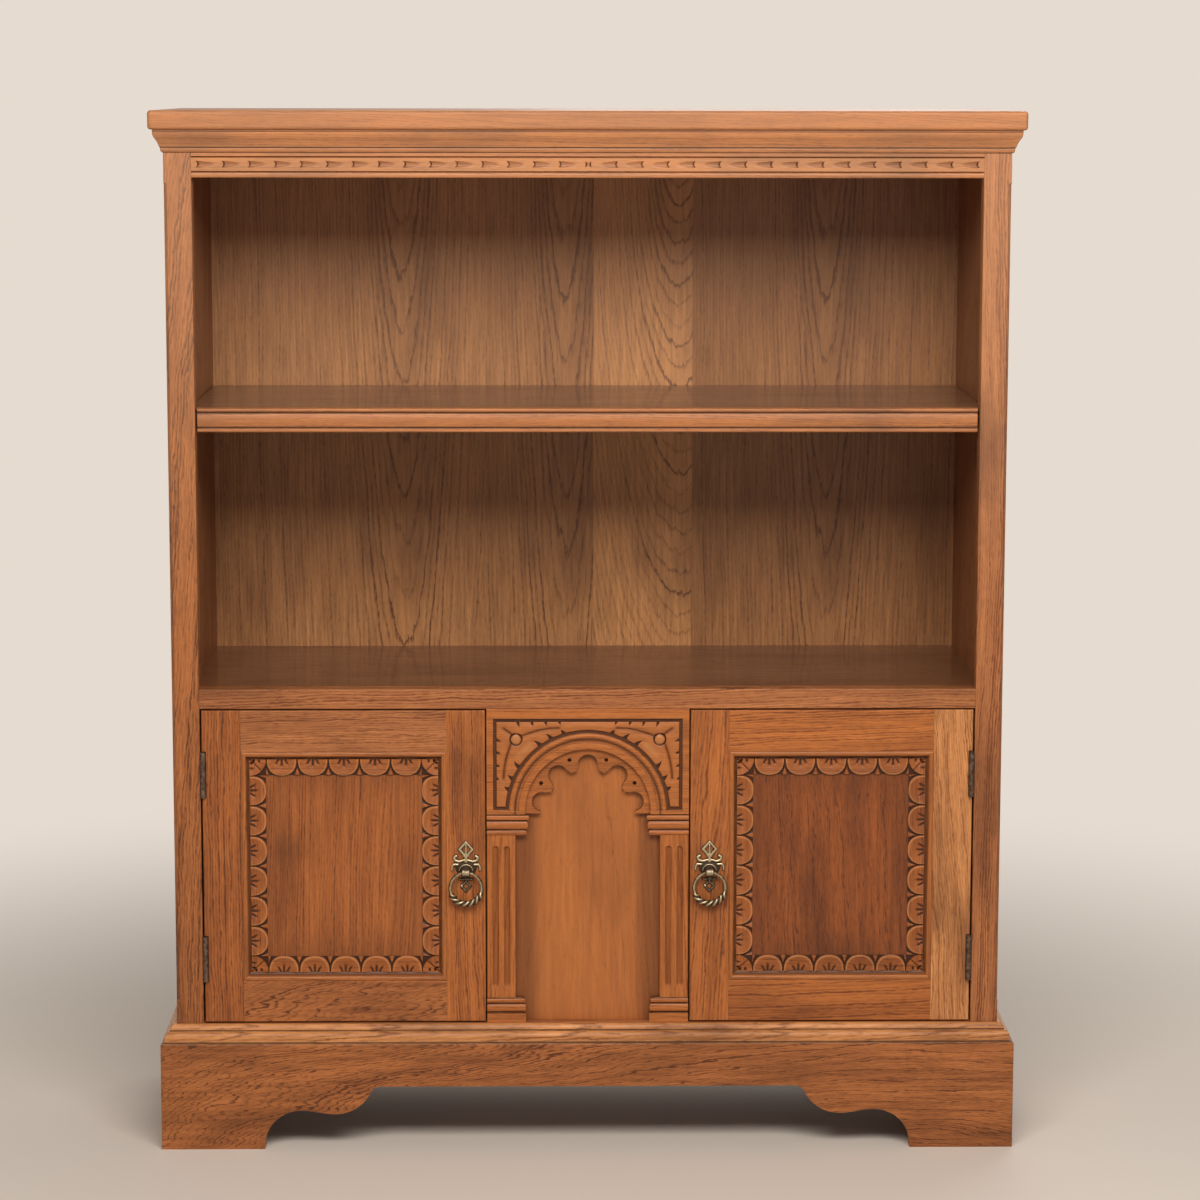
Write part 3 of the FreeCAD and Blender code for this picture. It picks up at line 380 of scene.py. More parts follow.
def oak_figure_group():
    """Growth rings cut by the face of a board, with fibres, pores and blotched stain."""
    tree, wiring, given, out = effect_group("oak_figure", [
        ("Vector", "Board", None), ("Color", "Wood", WHITE), ("Color", "Grain", WHITE),
        ("Color", "Stain", WHITE), ("Float", "Rings", 350.0), ("Float", "Pith", 0.08),
        ("Float", "Slope", 0.12), ("Float", "Waver", 0.012), ("Float", "Feather", 0.002),
        ("Float", "Streak", 0.6), ("Float", "Pores", 0.5), ("Float", "Mottle", 0.3),
    ], [("Color", "Color"), ("Float", "Roughness"), ("Float", "Height")])
    board = given["Board"]
    along, across, depth = wiring.split(board)
    swing = wiring.vector("SUBTRACT", wiring.noise(board, SWING, 3.0)[1], (0.5, 0.5, 0.5))
    swing_x, swing_y, _ = wiring.split(swing)
    reach = wiring.math("MULTIPLY", given["Waver"], 2.0)
    x = wiring.math("MULTIPLY_ADD", swing_x, reach, across)
    rise = wiring.math("MULTIPLY_ADD", given["Slope"], along, given["Pith"])
    y = wiring.math("MULTIPLY_ADD", swing_y, reach, wiring.math("ADD", rise, depth))
    radius = wiring.vector("LENGTH", wiring.join(x, y, 0.0))
    steep = wiring.vector("LENGTH", wiring.join(x, wiring.math("MULTIPLY", y, given["Slope"]), 0.0))
    line = wiring.math("MULTIPLY_ADD", wiring.math("DIVIDE", steep, radius), 0.85, 0.10)
    ripple = wiring.math("SUBTRACT", wiring.noise(board, RIPPLE, 3.0, 0.6)[0], 0.5)
    radius = wiring.math("MULTIPLY_ADD", ripple, wiring.math("MULTIPLY", given["Feather"], 2.0), radius)
    ring = wiring.math("MULTIPLY", radius, given["Rings"])
    year = wiring.chance(wiring.math("FLOOR", ring))
    part = wiring.math("FRACT", ring)
    crest = wiring.math("MULTIPLY", line, 0.3)
    fading = wiring.rest(wiring.step(part, crest, line))
    early = wiring.math("MULTIPLY", wiring.step(part, 0.0, crest), fading)
    strength = wiring.math("MULTIPLY_ADD", wiring.math("MULTIPLY", year, year), 0.75, 0.25)
    early = wiring.math("MULTIPLY", early, strength)
    tick = wiring.step(wiring.noise(board, TICK)[0], 0.36, 0.60)
    early = wiring.math("MULTIPLY", early, wiring.math("MULTIPLY_ADD", tick, 0.55, 0.45))
    drift = wiring.math("SUBTRACT", wiring.line_noise(wiring.math("MULTIPLY", radius, DRIFT)), 0.5)
    fibre = wiring.math("SUBTRACT", wiring.noise(board, FIBRE, 3.0, 0.6)[0], 0.5)
    fine = wiring.step(wiring.noise(board, PORE, 3.0, 0.6)[0], 0.45, 0.72)
    pores = wiring.math("MULTIPLY", fine, wiring.math("MULTIPLY_ADD", early, 0.6, 0.4))
    blotch = wiring.noise(board, BLOTCH, 4.0, 0.55)[0]
    figure = wiring.math("MULTIPLY_ADD", drift, 0.8, early)
    dark = wiring.math("MULTIPLY_ADD", figure, given["Streak"], PLAIN_WOOD)
    dark = wiring.math("MULTIPLY_ADD", pores, given["Pores"], dark)
    dark = wiring.math("MULTIPLY_ADD", fibre, 1.1, dark, clamp=True)
    colour = wiring.mix(dark, given["Wood"], given["Grain"])
    patch = wiring.math("MULTIPLY", wiring.step(blotch, 0.46, 0.74), given["Mottle"])
    wiring.feed(out["Color"], wiring.mix(patch, colour, given["Stain"]))
    sheen = wiring.math("MULTIPLY_ADD", blotch, 0.16, 0.28)
    wiring.feed(out["Roughness"], wiring.math("MULTIPLY_ADD", dark, 0.14, sheen))
    dents = wiring.math("MULTIPLY_ADD", pores, 0.6, wiring.math("MULTIPLY", early, 0.4))
    wiring.feed(out["Height"], wiring.rest(dents))
    return tree


def worn_arris_group():
    """Rubbed, softly rounded edges."""
    tree, wiring, given, out = effect_group("worn_arris", [
        ("Color", "Color", WHITE), ("Color", "Wear", WHITE), ("Float", "Amount", 0.6),
    ], [("Color", "Color"), ("Vector", "Normal")])
    rounded = tree.nodes.new("ShaderNodeBevel")
    rounded.samples = 4
    rounded.inputs["Radius"].default_value = 0.9 * MM
    flat = tree.nodes.new("ShaderNodeNewGeometry").outputs["Normal"]
    turn = wiring.rest(wiring.vector("DOT_PRODUCT", rounded.outputs[0], flat))
    place = tree.nodes.new("ShaderNodeTexCoord").outputs["Object"]
    uneven = wiring.step(wiring.noise(place, (60.0, 60.0, 60.0), 3.0)[0], 0.35, 0.65)
    share = wiring.math("MULTIPLY", wiring.step(turn, 0.01, 0.22), uneven)
    share = wiring.math("MULTIPLY", share, given["Amount"])
    wiring.feed(out["Color"], wiring.mix(share, given["Color"], given["Wear"]))
    wiring.feed(out["Normal"], rounded.outputs[0])
    return tree


def tarnish_and_shade_group():
    """Metal whose hollows are dark and whose crests are bright: patina and worn metal, with painted shade
    and highlight where the brightness follows the shape.
    """
    tree, wiring, given, out = effect_group("tarnish", [
        ("Vector", "Place", None), ("Color", "Bright", WHITE), ("Color", "Dark", WHITE),
        ("Float", "Rubbed", 0.5), ("Float", "Grain", 300.0),
    ], [("Color", "Color"), ("Float", "Roughness"), ("Float", "Height")])
    fine = wiring.add("TexNoise", Vector=given["Place"], Scale=given["Grain"], Detail=4.0).outputs[0]
    uneven = wiring.math("MULTIPLY", wiring.math("SUBTRACT", fine, 0.5), 0.9)
    share = wiring.step(wiring.math("ADD", given["Rubbed"], uneven), 0.15, 0.85)
    wiring.feed(out["Color"], wiring.mix(share, given["Dark"], given["Bright"]))
    wiring.feed(out["Roughness"], wiring.math("MULTIPLY_ADD", share, -0.20, 0.60))
    wiring.feed(out["Height"], fine)
    return tree


def shared(name, build):
    """The node group of that name, built at its first use."""
    return bpy.data.node_groups.get(name) or build()


def blank_material(name):
    """Material with only its Principled shader, its wiring and its object coordinates."""
    material = bpy.data.materials.new(name)
    material.use_nodes = True
    wiring = Wiring(material.node_tree)
    shader = material.node_tree.nodes["Principled BSDF"]
    place = material.node_tree.nodes.new("ShaderNodeTexCoord").outputs["Object"]
    return material, wiring, shader, place


def placed_group(wiring, tree, **inputs):
    node = wiring.tree.nodes.new("ShaderNodeGroup")
    node.node_tree = tree
    for name, value in inputs.items():
        wiring.feed(node.inputs[name], value)
    return node.outputs


# Cuts of timber: rings to the metre, pith depth, slope, waver, feather, streak, pores, mottle.
CUTS = {
    "flat": (330.0, 0.050, 0.10, 0.020, 0.0030, 0.95, 0.45, 0.55),
    "swirl": (460.0, 0.030, 0.22, 0.040, 0.0040, 0.95, 0.45, 0.45),
    "slanted": (330.0, 0.120, 0.20, 0.024, 0.0040, 0.90, 0.45, 0.55),
    "quarter": (420.0, 0.400, 0.05, 0.012, 0.0012, 0.50, 0.50, 0.60),
    "broad": (330.0, 0.160, 0.05, 0.016, 0.0015, 1.00, 0.50, 0.28),
    "burr": (330.0, 0.200, 0.08, 0.030, 0.0060, 0.50, 0.55, 0.85),
    "plain": (360.0, 0.300, 0.03, 0.012, 0.0010, 0.45, 0.40, 0.28),
    "veneer": (250.0, 0.012, 0.00, 0.010, 0.0018, 1.10, 0.40, 0.45),
}


def board_place(wiring, place, axes, shift):
    """Coordinates of a board: along the grain, across it and into it. Axes names them in that order."""
    parts = dict(zip("xyz", wiring.split(place)))
    return wiring.vector("ADD", wiring.join(*[parts[axis] for axis in axes]), shift)


def edge_distances(wiring, place, node):
    """Distances in from the sides of a node, and in from its top and bottom."""
    low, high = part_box(node)
    middle = (low + high) / 2
    half = (high - low) / 2
    x, _, z = wiring.split(place)
    off_x = wiring.math("ABSOLUTE", wiring.math("SUBTRACT", x, middle.x))
    off_z = wiring.math("ABSOLUTE", wiring.math("SUBTRACT", z, middle.z))
    return wiring.math("SUBTRACT", half.x, off_x), wiring.math("SUBTRACT", half.z, off_z)


def mitred_place(wiring, place, node, shift):
    """Board coordinates on the mitred strips of a frame: side strips run up, the others across."""
    x, y, z = wiring.split(place)
    strip = wiring.tree.nodes.new("ShaderNodeMix")
    strip.data_type = "VECTOR"
    wiring.feed(strip.inputs[0], wiring.math("LESS_THAN", *edge_distances(wiring, place, node)))
    wiring.feed(strip.inputs[4], wiring.join(x, z, y))
    wiring.feed(strip.inputs[5], wiring.join(z, x, y))
    return wiring.vector("ADD", strip.outputs[1], shift)


# Veneer leaves of the back panel: left edge and middle of the figure in metres, slope, darkness.
LEAVES = (
    (-0.500, -0.213, -0.07, 0.20),
    (-0.115, -0.022, -0.06, 0.26),
    (0.010, 0.112, -0.17, 0.0),
    (0.126, 0.284, -0.06, 0.38),
)
VENEER_TOP = 1.1
# Half the width of the bold figure of a leaf, and where it has faded.
BOLD_FIGURE = (0.012, 0.06)


def veneer_place(wiring, place):
    """Coordinates of the veneer leaves, the slope of the grain in each, how dark it is and how bold."""
    x, _, z = wiring.split(place)
    _, middle, slope, dark = LEAVES[0]
    for before, leaf in zip(LEAVES, LEAVES[1:]):
        past = wiring.math("GREATER_THAN", x, leaf[0])
        middle = wiring.math("MULTIPLY_ADD", past, leaf[1] - before[1], middle)
        slope = wiring.math("MULTIPLY_ADD", past, leaf[2] - before[2], slope)
        dark = wiring.math("MULTIPLY_ADD", past, leaf[3] - before[3], dark)
    across = wiring.math("SUBTRACT", x, middle)
    board = wiring.join(wiring.math("SUBTRACT", z, VENEER_TOP), across, 0.0)
    plain = wiring.step(wiring.math("ABSOLUTE", across), *BOLD_FIGURE)
    return board, slope, dark, wiring.rest(wiring.math("MULTIPLY", plain, 0.6))


# Centre of the arch above the foot of its head.
SPRINGING = 3.5 * MM


def arch_centre():
    """Height of the centre of the arch."""
    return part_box("arch_head")[0].z + SPRINGING


def arch_reach(wiring, place):
    """Distance from the centre of the arch, or from its axis below the springing."""
    x, _, z = wiring.split(place)
    up = wiring.math("MAXIMUM", wiring.math("SUBTRACT", z, arch_centre()), 0.0)
    return wiring.vector("LENGTH", wiring.join(x, up, 0.0))


# Painted light: the wood is painted lighter towards the top, from one height to another, and how much.
PAINTED_TOP_LIGHT = (0.45, 1.10, 0.20)
# A quirk is painted dark in its core, dirt and painted shade in the crease, and clean past its edge, as
# shares of its half width.
QUIRK_CORE = 0.4
QUIRK_EDGE = 1.3
QUIRK_DIRT_AND_SHADE = 0.75
# Painted shade: darker inner faces of the sides, field round the arch and edges of the door panels. Where
# it starts and ends in millimetres, and how much. It is measured in from the outer face of a side, out from
# the centre of the arch, and in from the edge of a door panel.
SIDE_SHADE = (6.0, 3.0, 0.45)
ARCH_SHADE = (47.0, 66.0, 0.55)
PANEL_SHADE = (30.0, 75.0, 0.30)
# Stain and dirt with painted shade in carved hollows: the depths where they start and end, and how much.
# Crests are rubbed: wear with painted highlight.
HOLLOW_STAIN_AND_SHADE = (0.3, 0.9, 0.9)
HOLLOW_DIRT_AND_SHADE = (0.65, 1.0, 0.8)
CRESTS = (0.0, 0.2)
# Weight and roughness of the polish.
POLISH = (0.5, 0.12)
DULL_POLISH = (0.06, 0.25)


def moulding_stain_and_shade(wiring, place, node, colour):
    """Stained sinkings of a moulding and dark quirks along it: real staining and grime, with painted shade.
    """
    finish = bpy.context.scene.oak_finish
    _, depth, height = wiring.split(place)
    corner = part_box(node)[0]
    if node in SUNK:
        start, end, stain_and_shade, dirt_and_shade = SUNK[node]
        deep = wiring.step(depth, corner.y + start * MM, corner.y + end * MM)
        colour = wiring.tint(deep, stain_and_shade, colour, finish.stain_and_shade)
        colour = wiring.tint(wiring.step(deep, 0.8, 1.0), dirt_and_shade, colour, finish.dirt_and_shade)
    for level, half in QUIRKS.get(node, ()):
        if node == "arch_head":
            rise = arch_reach(wiring, place)
        else:
            rise = wiring.math("SUBTRACT", height, corner.z)
        off = wiring.math("ABSOLUTE", wiring.math("SUBTRACT", rise, level * MM))
        line = wiring.rest(wiring.step(off, QUIRK_CORE * half * MM, QUIRK_EDGE * half * MM))
        colour = wiring.tint(line, QUIRK_DIRT_AND_SHADE, colour, finish.dirt_and_shade)
    return colour


def painted_shade(wiring, place, node, colour):
    """Painted shade on the inner faces of the sides, under the arch and round the door panels."""
    if node.endswith("side_panel"):
        start, end, amount = SIDE_SHADE
        low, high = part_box(node)
        outer = max(abs(low.x), abs(high.x))
        across = wiring.math("ABSOLUTE", wiring.split(place)[0])
        shade_mask = wiring.rest(wiring.step(across, outer - start * MM, outer - end * MM))
    elif node == "centre_field":
        start, end, amount = ARCH_SHADE
        shade_mask = wiring.step(arch_reach(wiring, place), start * MM, end * MM)
    elif node.endswith("door_panel"):
        start, end, amount = PANEL_SHADE
        inward = wiring.math("MINIMUM", *edge_distances(wiring, place, node))
        shade_mask = wiring.rest(wiring.step(inward, start * MM, end * MM))
    else:
        return colour
    return wiring.tint(shade_mask, amount, colour, bpy.context.scene.oak_finish.stain_and_shade)


def carved_stain_and_shade(wiring, wear_and_highlight, colour):
    """Stained and grimy hollows of carved wood with painted shade, and worn crests with painted highlight.
    """
    finish = bpy.context.scene.oak_finish
    deep = wiring.attribute("hollow")
    for (start, end, amount), dark in ((HOLLOW_STAIN_AND_SHADE, finish.stain_and_shade), (HOLLOW_DIRT_AND_SHADE, finish.dirt_and_shade)):
        colour = wiring.tint(wiring.step(deep, start, end), amount, colour, dark)
    return wiring.tint(wiring.rest(wiring.step(deep, *CRESTS)), wear_and_highlight, colour, finish.wear_and_highlight)


def oak_material(name, axes, cut, tone, shift, wear_and_highlight=0.5, strips=None, carved=False, node=None):
    """Polished oak, painted lighter towards the top. strips names a mitred frame, carved wood is stained
    and given painted shade in its hollows, and the mouldings of a node are stained and given painted shade
    in theirs."""
    finish = bpy.context.scene.oak_finish
    material, wiring, shader, place = blank_material(name)
    rings, pith, slope, waver, feather, streak, pores, mottle = CUTS[cut]
    leaf_dark = None
    if strips:
        board = mitred_place(wiring, place, strips, shift)
    elif cut == "veneer":
        board, slope, leaf_dark, bold = veneer_place(wiring, place)
        streak = wiring.math("MULTIPLY", bold, streak)
    else:
        board = board_place(wiring, place, axes, shift)
    figure = placed_group(
        wiring, shared("oak_figure", oak_figure_group), Board=board, Wood=(*getattr(finish, tone), 1.0),
        Grain=(*getattr(finish, tone + "_grain"), 1.0), Stain=(*finish.stain_and_shade, 1.0), Rings=rings, Pith=pith,
        Slope=slope, Waver=waver, Feather=feather, Streak=streak, Pores=pores, Mottle=mottle)
    bump = wiring.add("Bump", Height=figure["Height"], Strength=0.35, Distance=0.25 * MM)
    # Painted light: lighter towards the top.
    low, high, amount = PAINTED_TOP_LIGHT
    painted_lighter = wiring.step(wiring.split(place)[2], low, high)
    colour = wiring.tint(painted_lighter, amount, figure["Color"], finish.painted_top_light)
    if node:
        colour = moulding_stain_and_shade(wiring, place, node, colour)
        colour = painted_shade(wiring, place, node, colour)
    if leaf_dark:
        colour = wiring.mix(leaf_dark, colour, finish.stain_and_shade)
    if carved:
        colour = carved_stain_and_shade(wiring, wear_and_highlight, colour)
    else:
        worn = placed_group(wiring, shared("worn_arris", worn_arris_group), Color=colour,
                            Wear=(*finish.wear_and_highlight, 1.0), Amount=wear_and_highlight)
        colour = worn["Color"]
        wiring.feed(bump.inputs["Normal"], worn["Normal"])
    weight, roughness = POLISH if node in POLISHED else DULL_POLISH
    wiring.feed(shader.inputs["Base Color"], colour)
    wiring.feed(shader.inputs["Roughness"], figure["Roughness"])
    shader.inputs["Specular IOR Level"].default_value = 0.25
    shader.inputs["Coat Weight"].default_value = weight
    shader.inputs["Coat Roughness"].default_value = roughness
    wiring.feed(shader.inputs["Normal"], bump.outputs[0])
    return material


def metal_material(name, bright, dark, rubbed=0.5, grain=300.0, crests=None):
    """Worn and patinated metal. crests is the attribute that tells how bright a cast piece is painted, worn
    crests with painted highlight, or (axis, dark end, bright end), which paints shade and highlight along
    an axis."""
    finish = bpy.context.scene.metal_finish
    material, wiring, shader, place = blank_material(name)
    if isinstance(crests, str):
        rubbed = wiring.attribute(crests)
    elif crests:
        axis, low, high = crests
        rubbed = wiring.step(wiring.split(place)[axis], low, high)
    tarnish = placed_group(
        wiring, shared("tarnish", tarnish_and_shade_group), Place=place, Bright=(*getattr(finish, bright), 1.0),
        Dark=(*getattr(finish, dark), 1.0), Rubbed=rubbed, Grain=grain)
    wiring.feed(shader.inputs["Base Color"], tarnish["Color"])
    wiring.feed(shader.inputs["Roughness"], tarnish["Roughness"])
    shader.inputs["Metallic"].default_value = 1.0
    bump = wiring.add("Bump", Height=tarnish["Height"], Strength=0.15, Distance=0.2 * MM)
    wiring.feed(shader.inputs["Normal"], bump.outputs[0])
    return material


def plastic_material(name):
    """Brown moulded catch body."""
    finish = bpy.context.scene.metal_finish
    material, wiring, shader, place = blank_material(name)
    mottle = wiring.noise(place, (400.0, 400.0, 400.0), 3.0)[0]
    wiring.feed(shader.inputs["Base Color"], wiring.mix(mottle, finish.plastic, finish.plastic_dark))
    wiring.feed(shader.inputs["Roughness"], wiring.math("MULTIPLY_ADD", mottle, 0.2, 0.4))
    bump = wiring.add("Bump", Height=mottle, Strength=0.2, Distance=0.1 * MM)
    wiring.feed(shader.inputs["Normal"], bump.outputs[0])
    return material


def dress(piece, material):
    piece.data.materials.clear()
    piece.data.materials.append(material)


def settle(name, bm, body, material, node=None, sharp=40.0):
    """Make a finished bmesh a piece that rides a body, in place of a node where one is named."""
    bmesh.ops.recalc_face_normals(bm, faces=bm.faces)
    mesh = bpy.data.meshes.new(name)
    bm.to_mesh(mesh)
    bm.free()
    mesh.polygons.foreach_set("use_smooth", [True] * len(mesh.polygons))
    mesh.set_sharp_from_angle(angle=math.radians(sharp))
    piece = bpy.data.objects.new(name, mesh)
    bpy.context.scene.collection.objects.link(piece)
    dress(piece, material)
    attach(piece, body)
    if node:
        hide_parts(node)
    return piece


def relief_grid(columns, rows):
    """Flat grid, and the place of each vertex as shares from 0 to 1 across and up."""
    bm = bmesh.new()
    bmesh.ops.create_grid(bm, x_segments=columns, y_segments=rows, size=0.5)
    places = np.array([vert.co[:2] for vert in bm.verts]) + 0.5
    return bm, places[:, 0], places[:, 1]


def carve(bm, x, y, z, hollow):
    """Move the vertices of a grid to their places and note how hollow each lies, which sets its staining
    and painted shade.
    """
    layer = bm.verts.layers.float.new("hollow")
    for vert, place, deep in zip(bm.verts, np.stack((x, y, z), 1), np.clip(hollow, 0, 1)):
        vert.co = place
        vert[layer] = deep


def close_back(bm, back):
    """Give a carved face its edges and a flat back."""
    rim = [edge for edge in bm.edges if edge.is_boundary]
    walls = bmesh.ops.extrude_edge_only(bm, edges=rim)["geom"]
    for item in walls:
        if isinstance(item, bmesh.types.BMVert):
            item.co.y = back
    far = [item for item in walls if isinstance(item, bmesh.types.BMEdge) and item.is_boundary]
    bmesh.ops.triangle_fill(bm, edges=far, use_beauty=True)


def smooth_step(value, low, high):
    share = np.clip((value - low) / (high - low), 0, 1)
    return share * share * (3 - 2 * share)


def groove(distance, half):
    """1 along a line, falling to 0 at half a groove's width from it."""
    return np.clip(1 - distance / half, 0, 1)


def oval(along, across):
    """1 in the middle of an oval, 0 at its edge and outside."""
    return np.clip(1 - along ** 2 - across ** 2, 0, 1)


def distance_to_line(x, z, points):
    """Distance from each place to a line through the points."""
    best = np.full_like(x, np.inf)
    for (x0, z0), (x1, z1) in zip(points, points[1:]):
        span = (x1 - x0) ** 2 + (z1 - z0) ** 2
        share = np.clip(((x - x0) * (x1 - x0) + (z - z0) * (z1 - z0)) / span, 0, 1)
        best = np.minimum(best, np.hypot(x - x0 - share * (x1 - x0), z - z0 - share * (z1 - z0)))
    return best


# Boards as node: axes (along, across, into), cut, colours, wear. On the base mouldings the pale tone and
# strong wear are partly painted highlight.
BOARDS = {
    "top_board": ("xyz", "broad", "cap", 0.6),
    "cornice_front": ("xzy", "quarter", "cap", 0.5),
    "cornice_returns": ("yzx", "quarter", "cap", 0.5),
    "back_panel": ("zxy", "veneer", "back", 0.0),
    "middle_shelf": ("xyz", "quarter", "shelf", 0.3),
    "shelf_lipping": ("xzy", "quarter", "cap", 0.7),
    "deck_board": ("xyz", "quarter", "inside", 0.3),
    "deck_rail": ("xzy", "flat", "front", 0.6),
    "floor_board": ("xyz", "quarter", "inside", 0.3),
    "base_rail": ("xzy", "quarter", "front", 0.3),
    # Pale tone and strong wear: partly painted highlight.
    "base_moulding_front": ("xzy", "flat", "pale", 0.9),
    "base_moulding_returns": ("yzx", "flat", "pale", 0.9),
    "plinth_front": ("xzy", "swirl", "aged", 0.6),
    "left_plinth": ("yzx", "swirl", "aged", 0.6),
    "right_plinth": ("yzx", "swirl", "aged", 0.6),
    "plinth_back": ("xzy", "plain", "inside", 0.3),
    "corner_blocks": ("zxy", "plain", "inside", 0.3),
    "centre_field": ("zxy", "plain", "field", 0.0),
    "centre_posts": ("zxy", "plain", "inside", 0.3),
    "arch_head": ("xzy", "plain", "amber", 0.6),
    "arch_tracery": ("xzy", "plain", "amber", 0.6),
    "pilaster_capitals": ("xzy", "plain", "amber", 0.7),
    "pilaster_bases": ("xzy", "plain", "amber", 0.7),
    "left_side_panel": ("zyx", "broad", "front", 0.4),
    "right_side_panel": ("zyx", "broad", "front", 0.4),
    "left_front_stile": ("zxy", "slanted", "aged", 0.7),
    "right_front_stile": ("zxy", "flat", "front", 0.7),
    "left_pilaster": ("zxy", "plain", "amber", 0.6),
    "right_pilaster": ("zxy", "plain", "amber", 0.6),
    "left_hinge_stile": ("zxy", "flat", "panel", 0.5),
    "left_lock_stile": ("zxy", "flat", "amber", 0.5),
    "left_top_rail": ("xzy", "slanted", "front", 0.4),
    "left_bottom_rail": ("xzy", "swirl", "aged", 0.4),
    "left_door_panel": ("zxy", "quarter", "panel", 0.0),
    "right_hinge_stile": ("zxy", "slanted", "pale", 0.5),
    "right_lock_stile": ("zxy", "flat", "amber", 0.5),
    "right_top_rail": ("xzy", "flat", "amber", 0.4),
    "right_bottom_rail": ("xzy", "flat", "amber", 0.4),
    "right_door_panel": ("zxy", "burr", "russet", 0.0),
}
POLISHED = ("middle_shelf", "deck_board")


def board_shift(index):
    """Each board is cut from another place in the tree."""
    return (0.05 * (index * 3 % 13 - 6), 0.006 * (index * 7 % 11 - 5), 0.004 * (index * 5 % 7))


# Mouldings stained in their sinkings, with painted shade: depths behind the front of the node where the
# stain starts and ends, its strength, and that of the dirt and painted shade at the bottom.
SUNK = {
    "arch_head": (1.4, 3.0, 0.80, 0.40),
    "arch_tracery": (0.4, 2.0, 0.8, 0.3),
    "left_pilaster": (0.4, 2.2, 0.4, 0.0),
    "right_pilaster": (0.4, 2.2, 0.4, 0.0),
    "left_panel_bead": (2.0, 6.0, 0.8, 0.3),
    "right_panel_bead": (2.0, 6.0, 0.8, 0.3),
}
# Dark quirks along the mouldings, dirt and painted shade in the creases: height over the bottom of the
# node, or radius of the arch, and half the width.
CORNICE_LINES = ((0.0, 0.6), (5.4, 0.9), (22.6, 0.6))
BASE_LINES = ((1.0, 1.1), (13.4, 0.9))
QUIRKS = {
    "arch_head": ((80.4, 1.2),),
    "cornice_front": CORNICE_LINES,
    "cornice_returns": CORNICE_LINES,
    "shelf_lipping": ((4.9, 1.1), (21.1, 1.1)),
    "base_moulding_front": BASE_LINES,
    "base_moulding_returns": BASE_LINES,
    "pilaster_capitals": ((6.1, 1.2), (16.5, 1.1), (23.2, 0.8)),
    "pilaster_bases": ((11.4, 1.4), (21.7, 1.0), (27.3, 0.6)),
}


class BOOKCASE_OT_boards(bpy.types.Operator):
    """Finish the plain oak boards and mouldings"""
    bl_idname = "bookcase.boards"
    bl_label = "Oak boards"

    def execute(self, context):
        for index, (node, (axes, cut, tone, wear_and_highlight)) in enumerate(BOARDS.items()):
            material = oak_material("oak_" + node, axes, cut, tone, board_shift(index), wear_and_highlight, node=node)
            dress(NODES[node], material)
        for index, (side, _) in enumerate(SIDES):
            node = side + "_panel_bead"
            # The bead's cap tone and strong wear are partly painted highlight.
            dress(NODES[node], oak_material(
                "oak_" + node, "", "plain", "cap", board_shift(index), 0.8, strips=node, node=node))
        return {"FINISHED"}


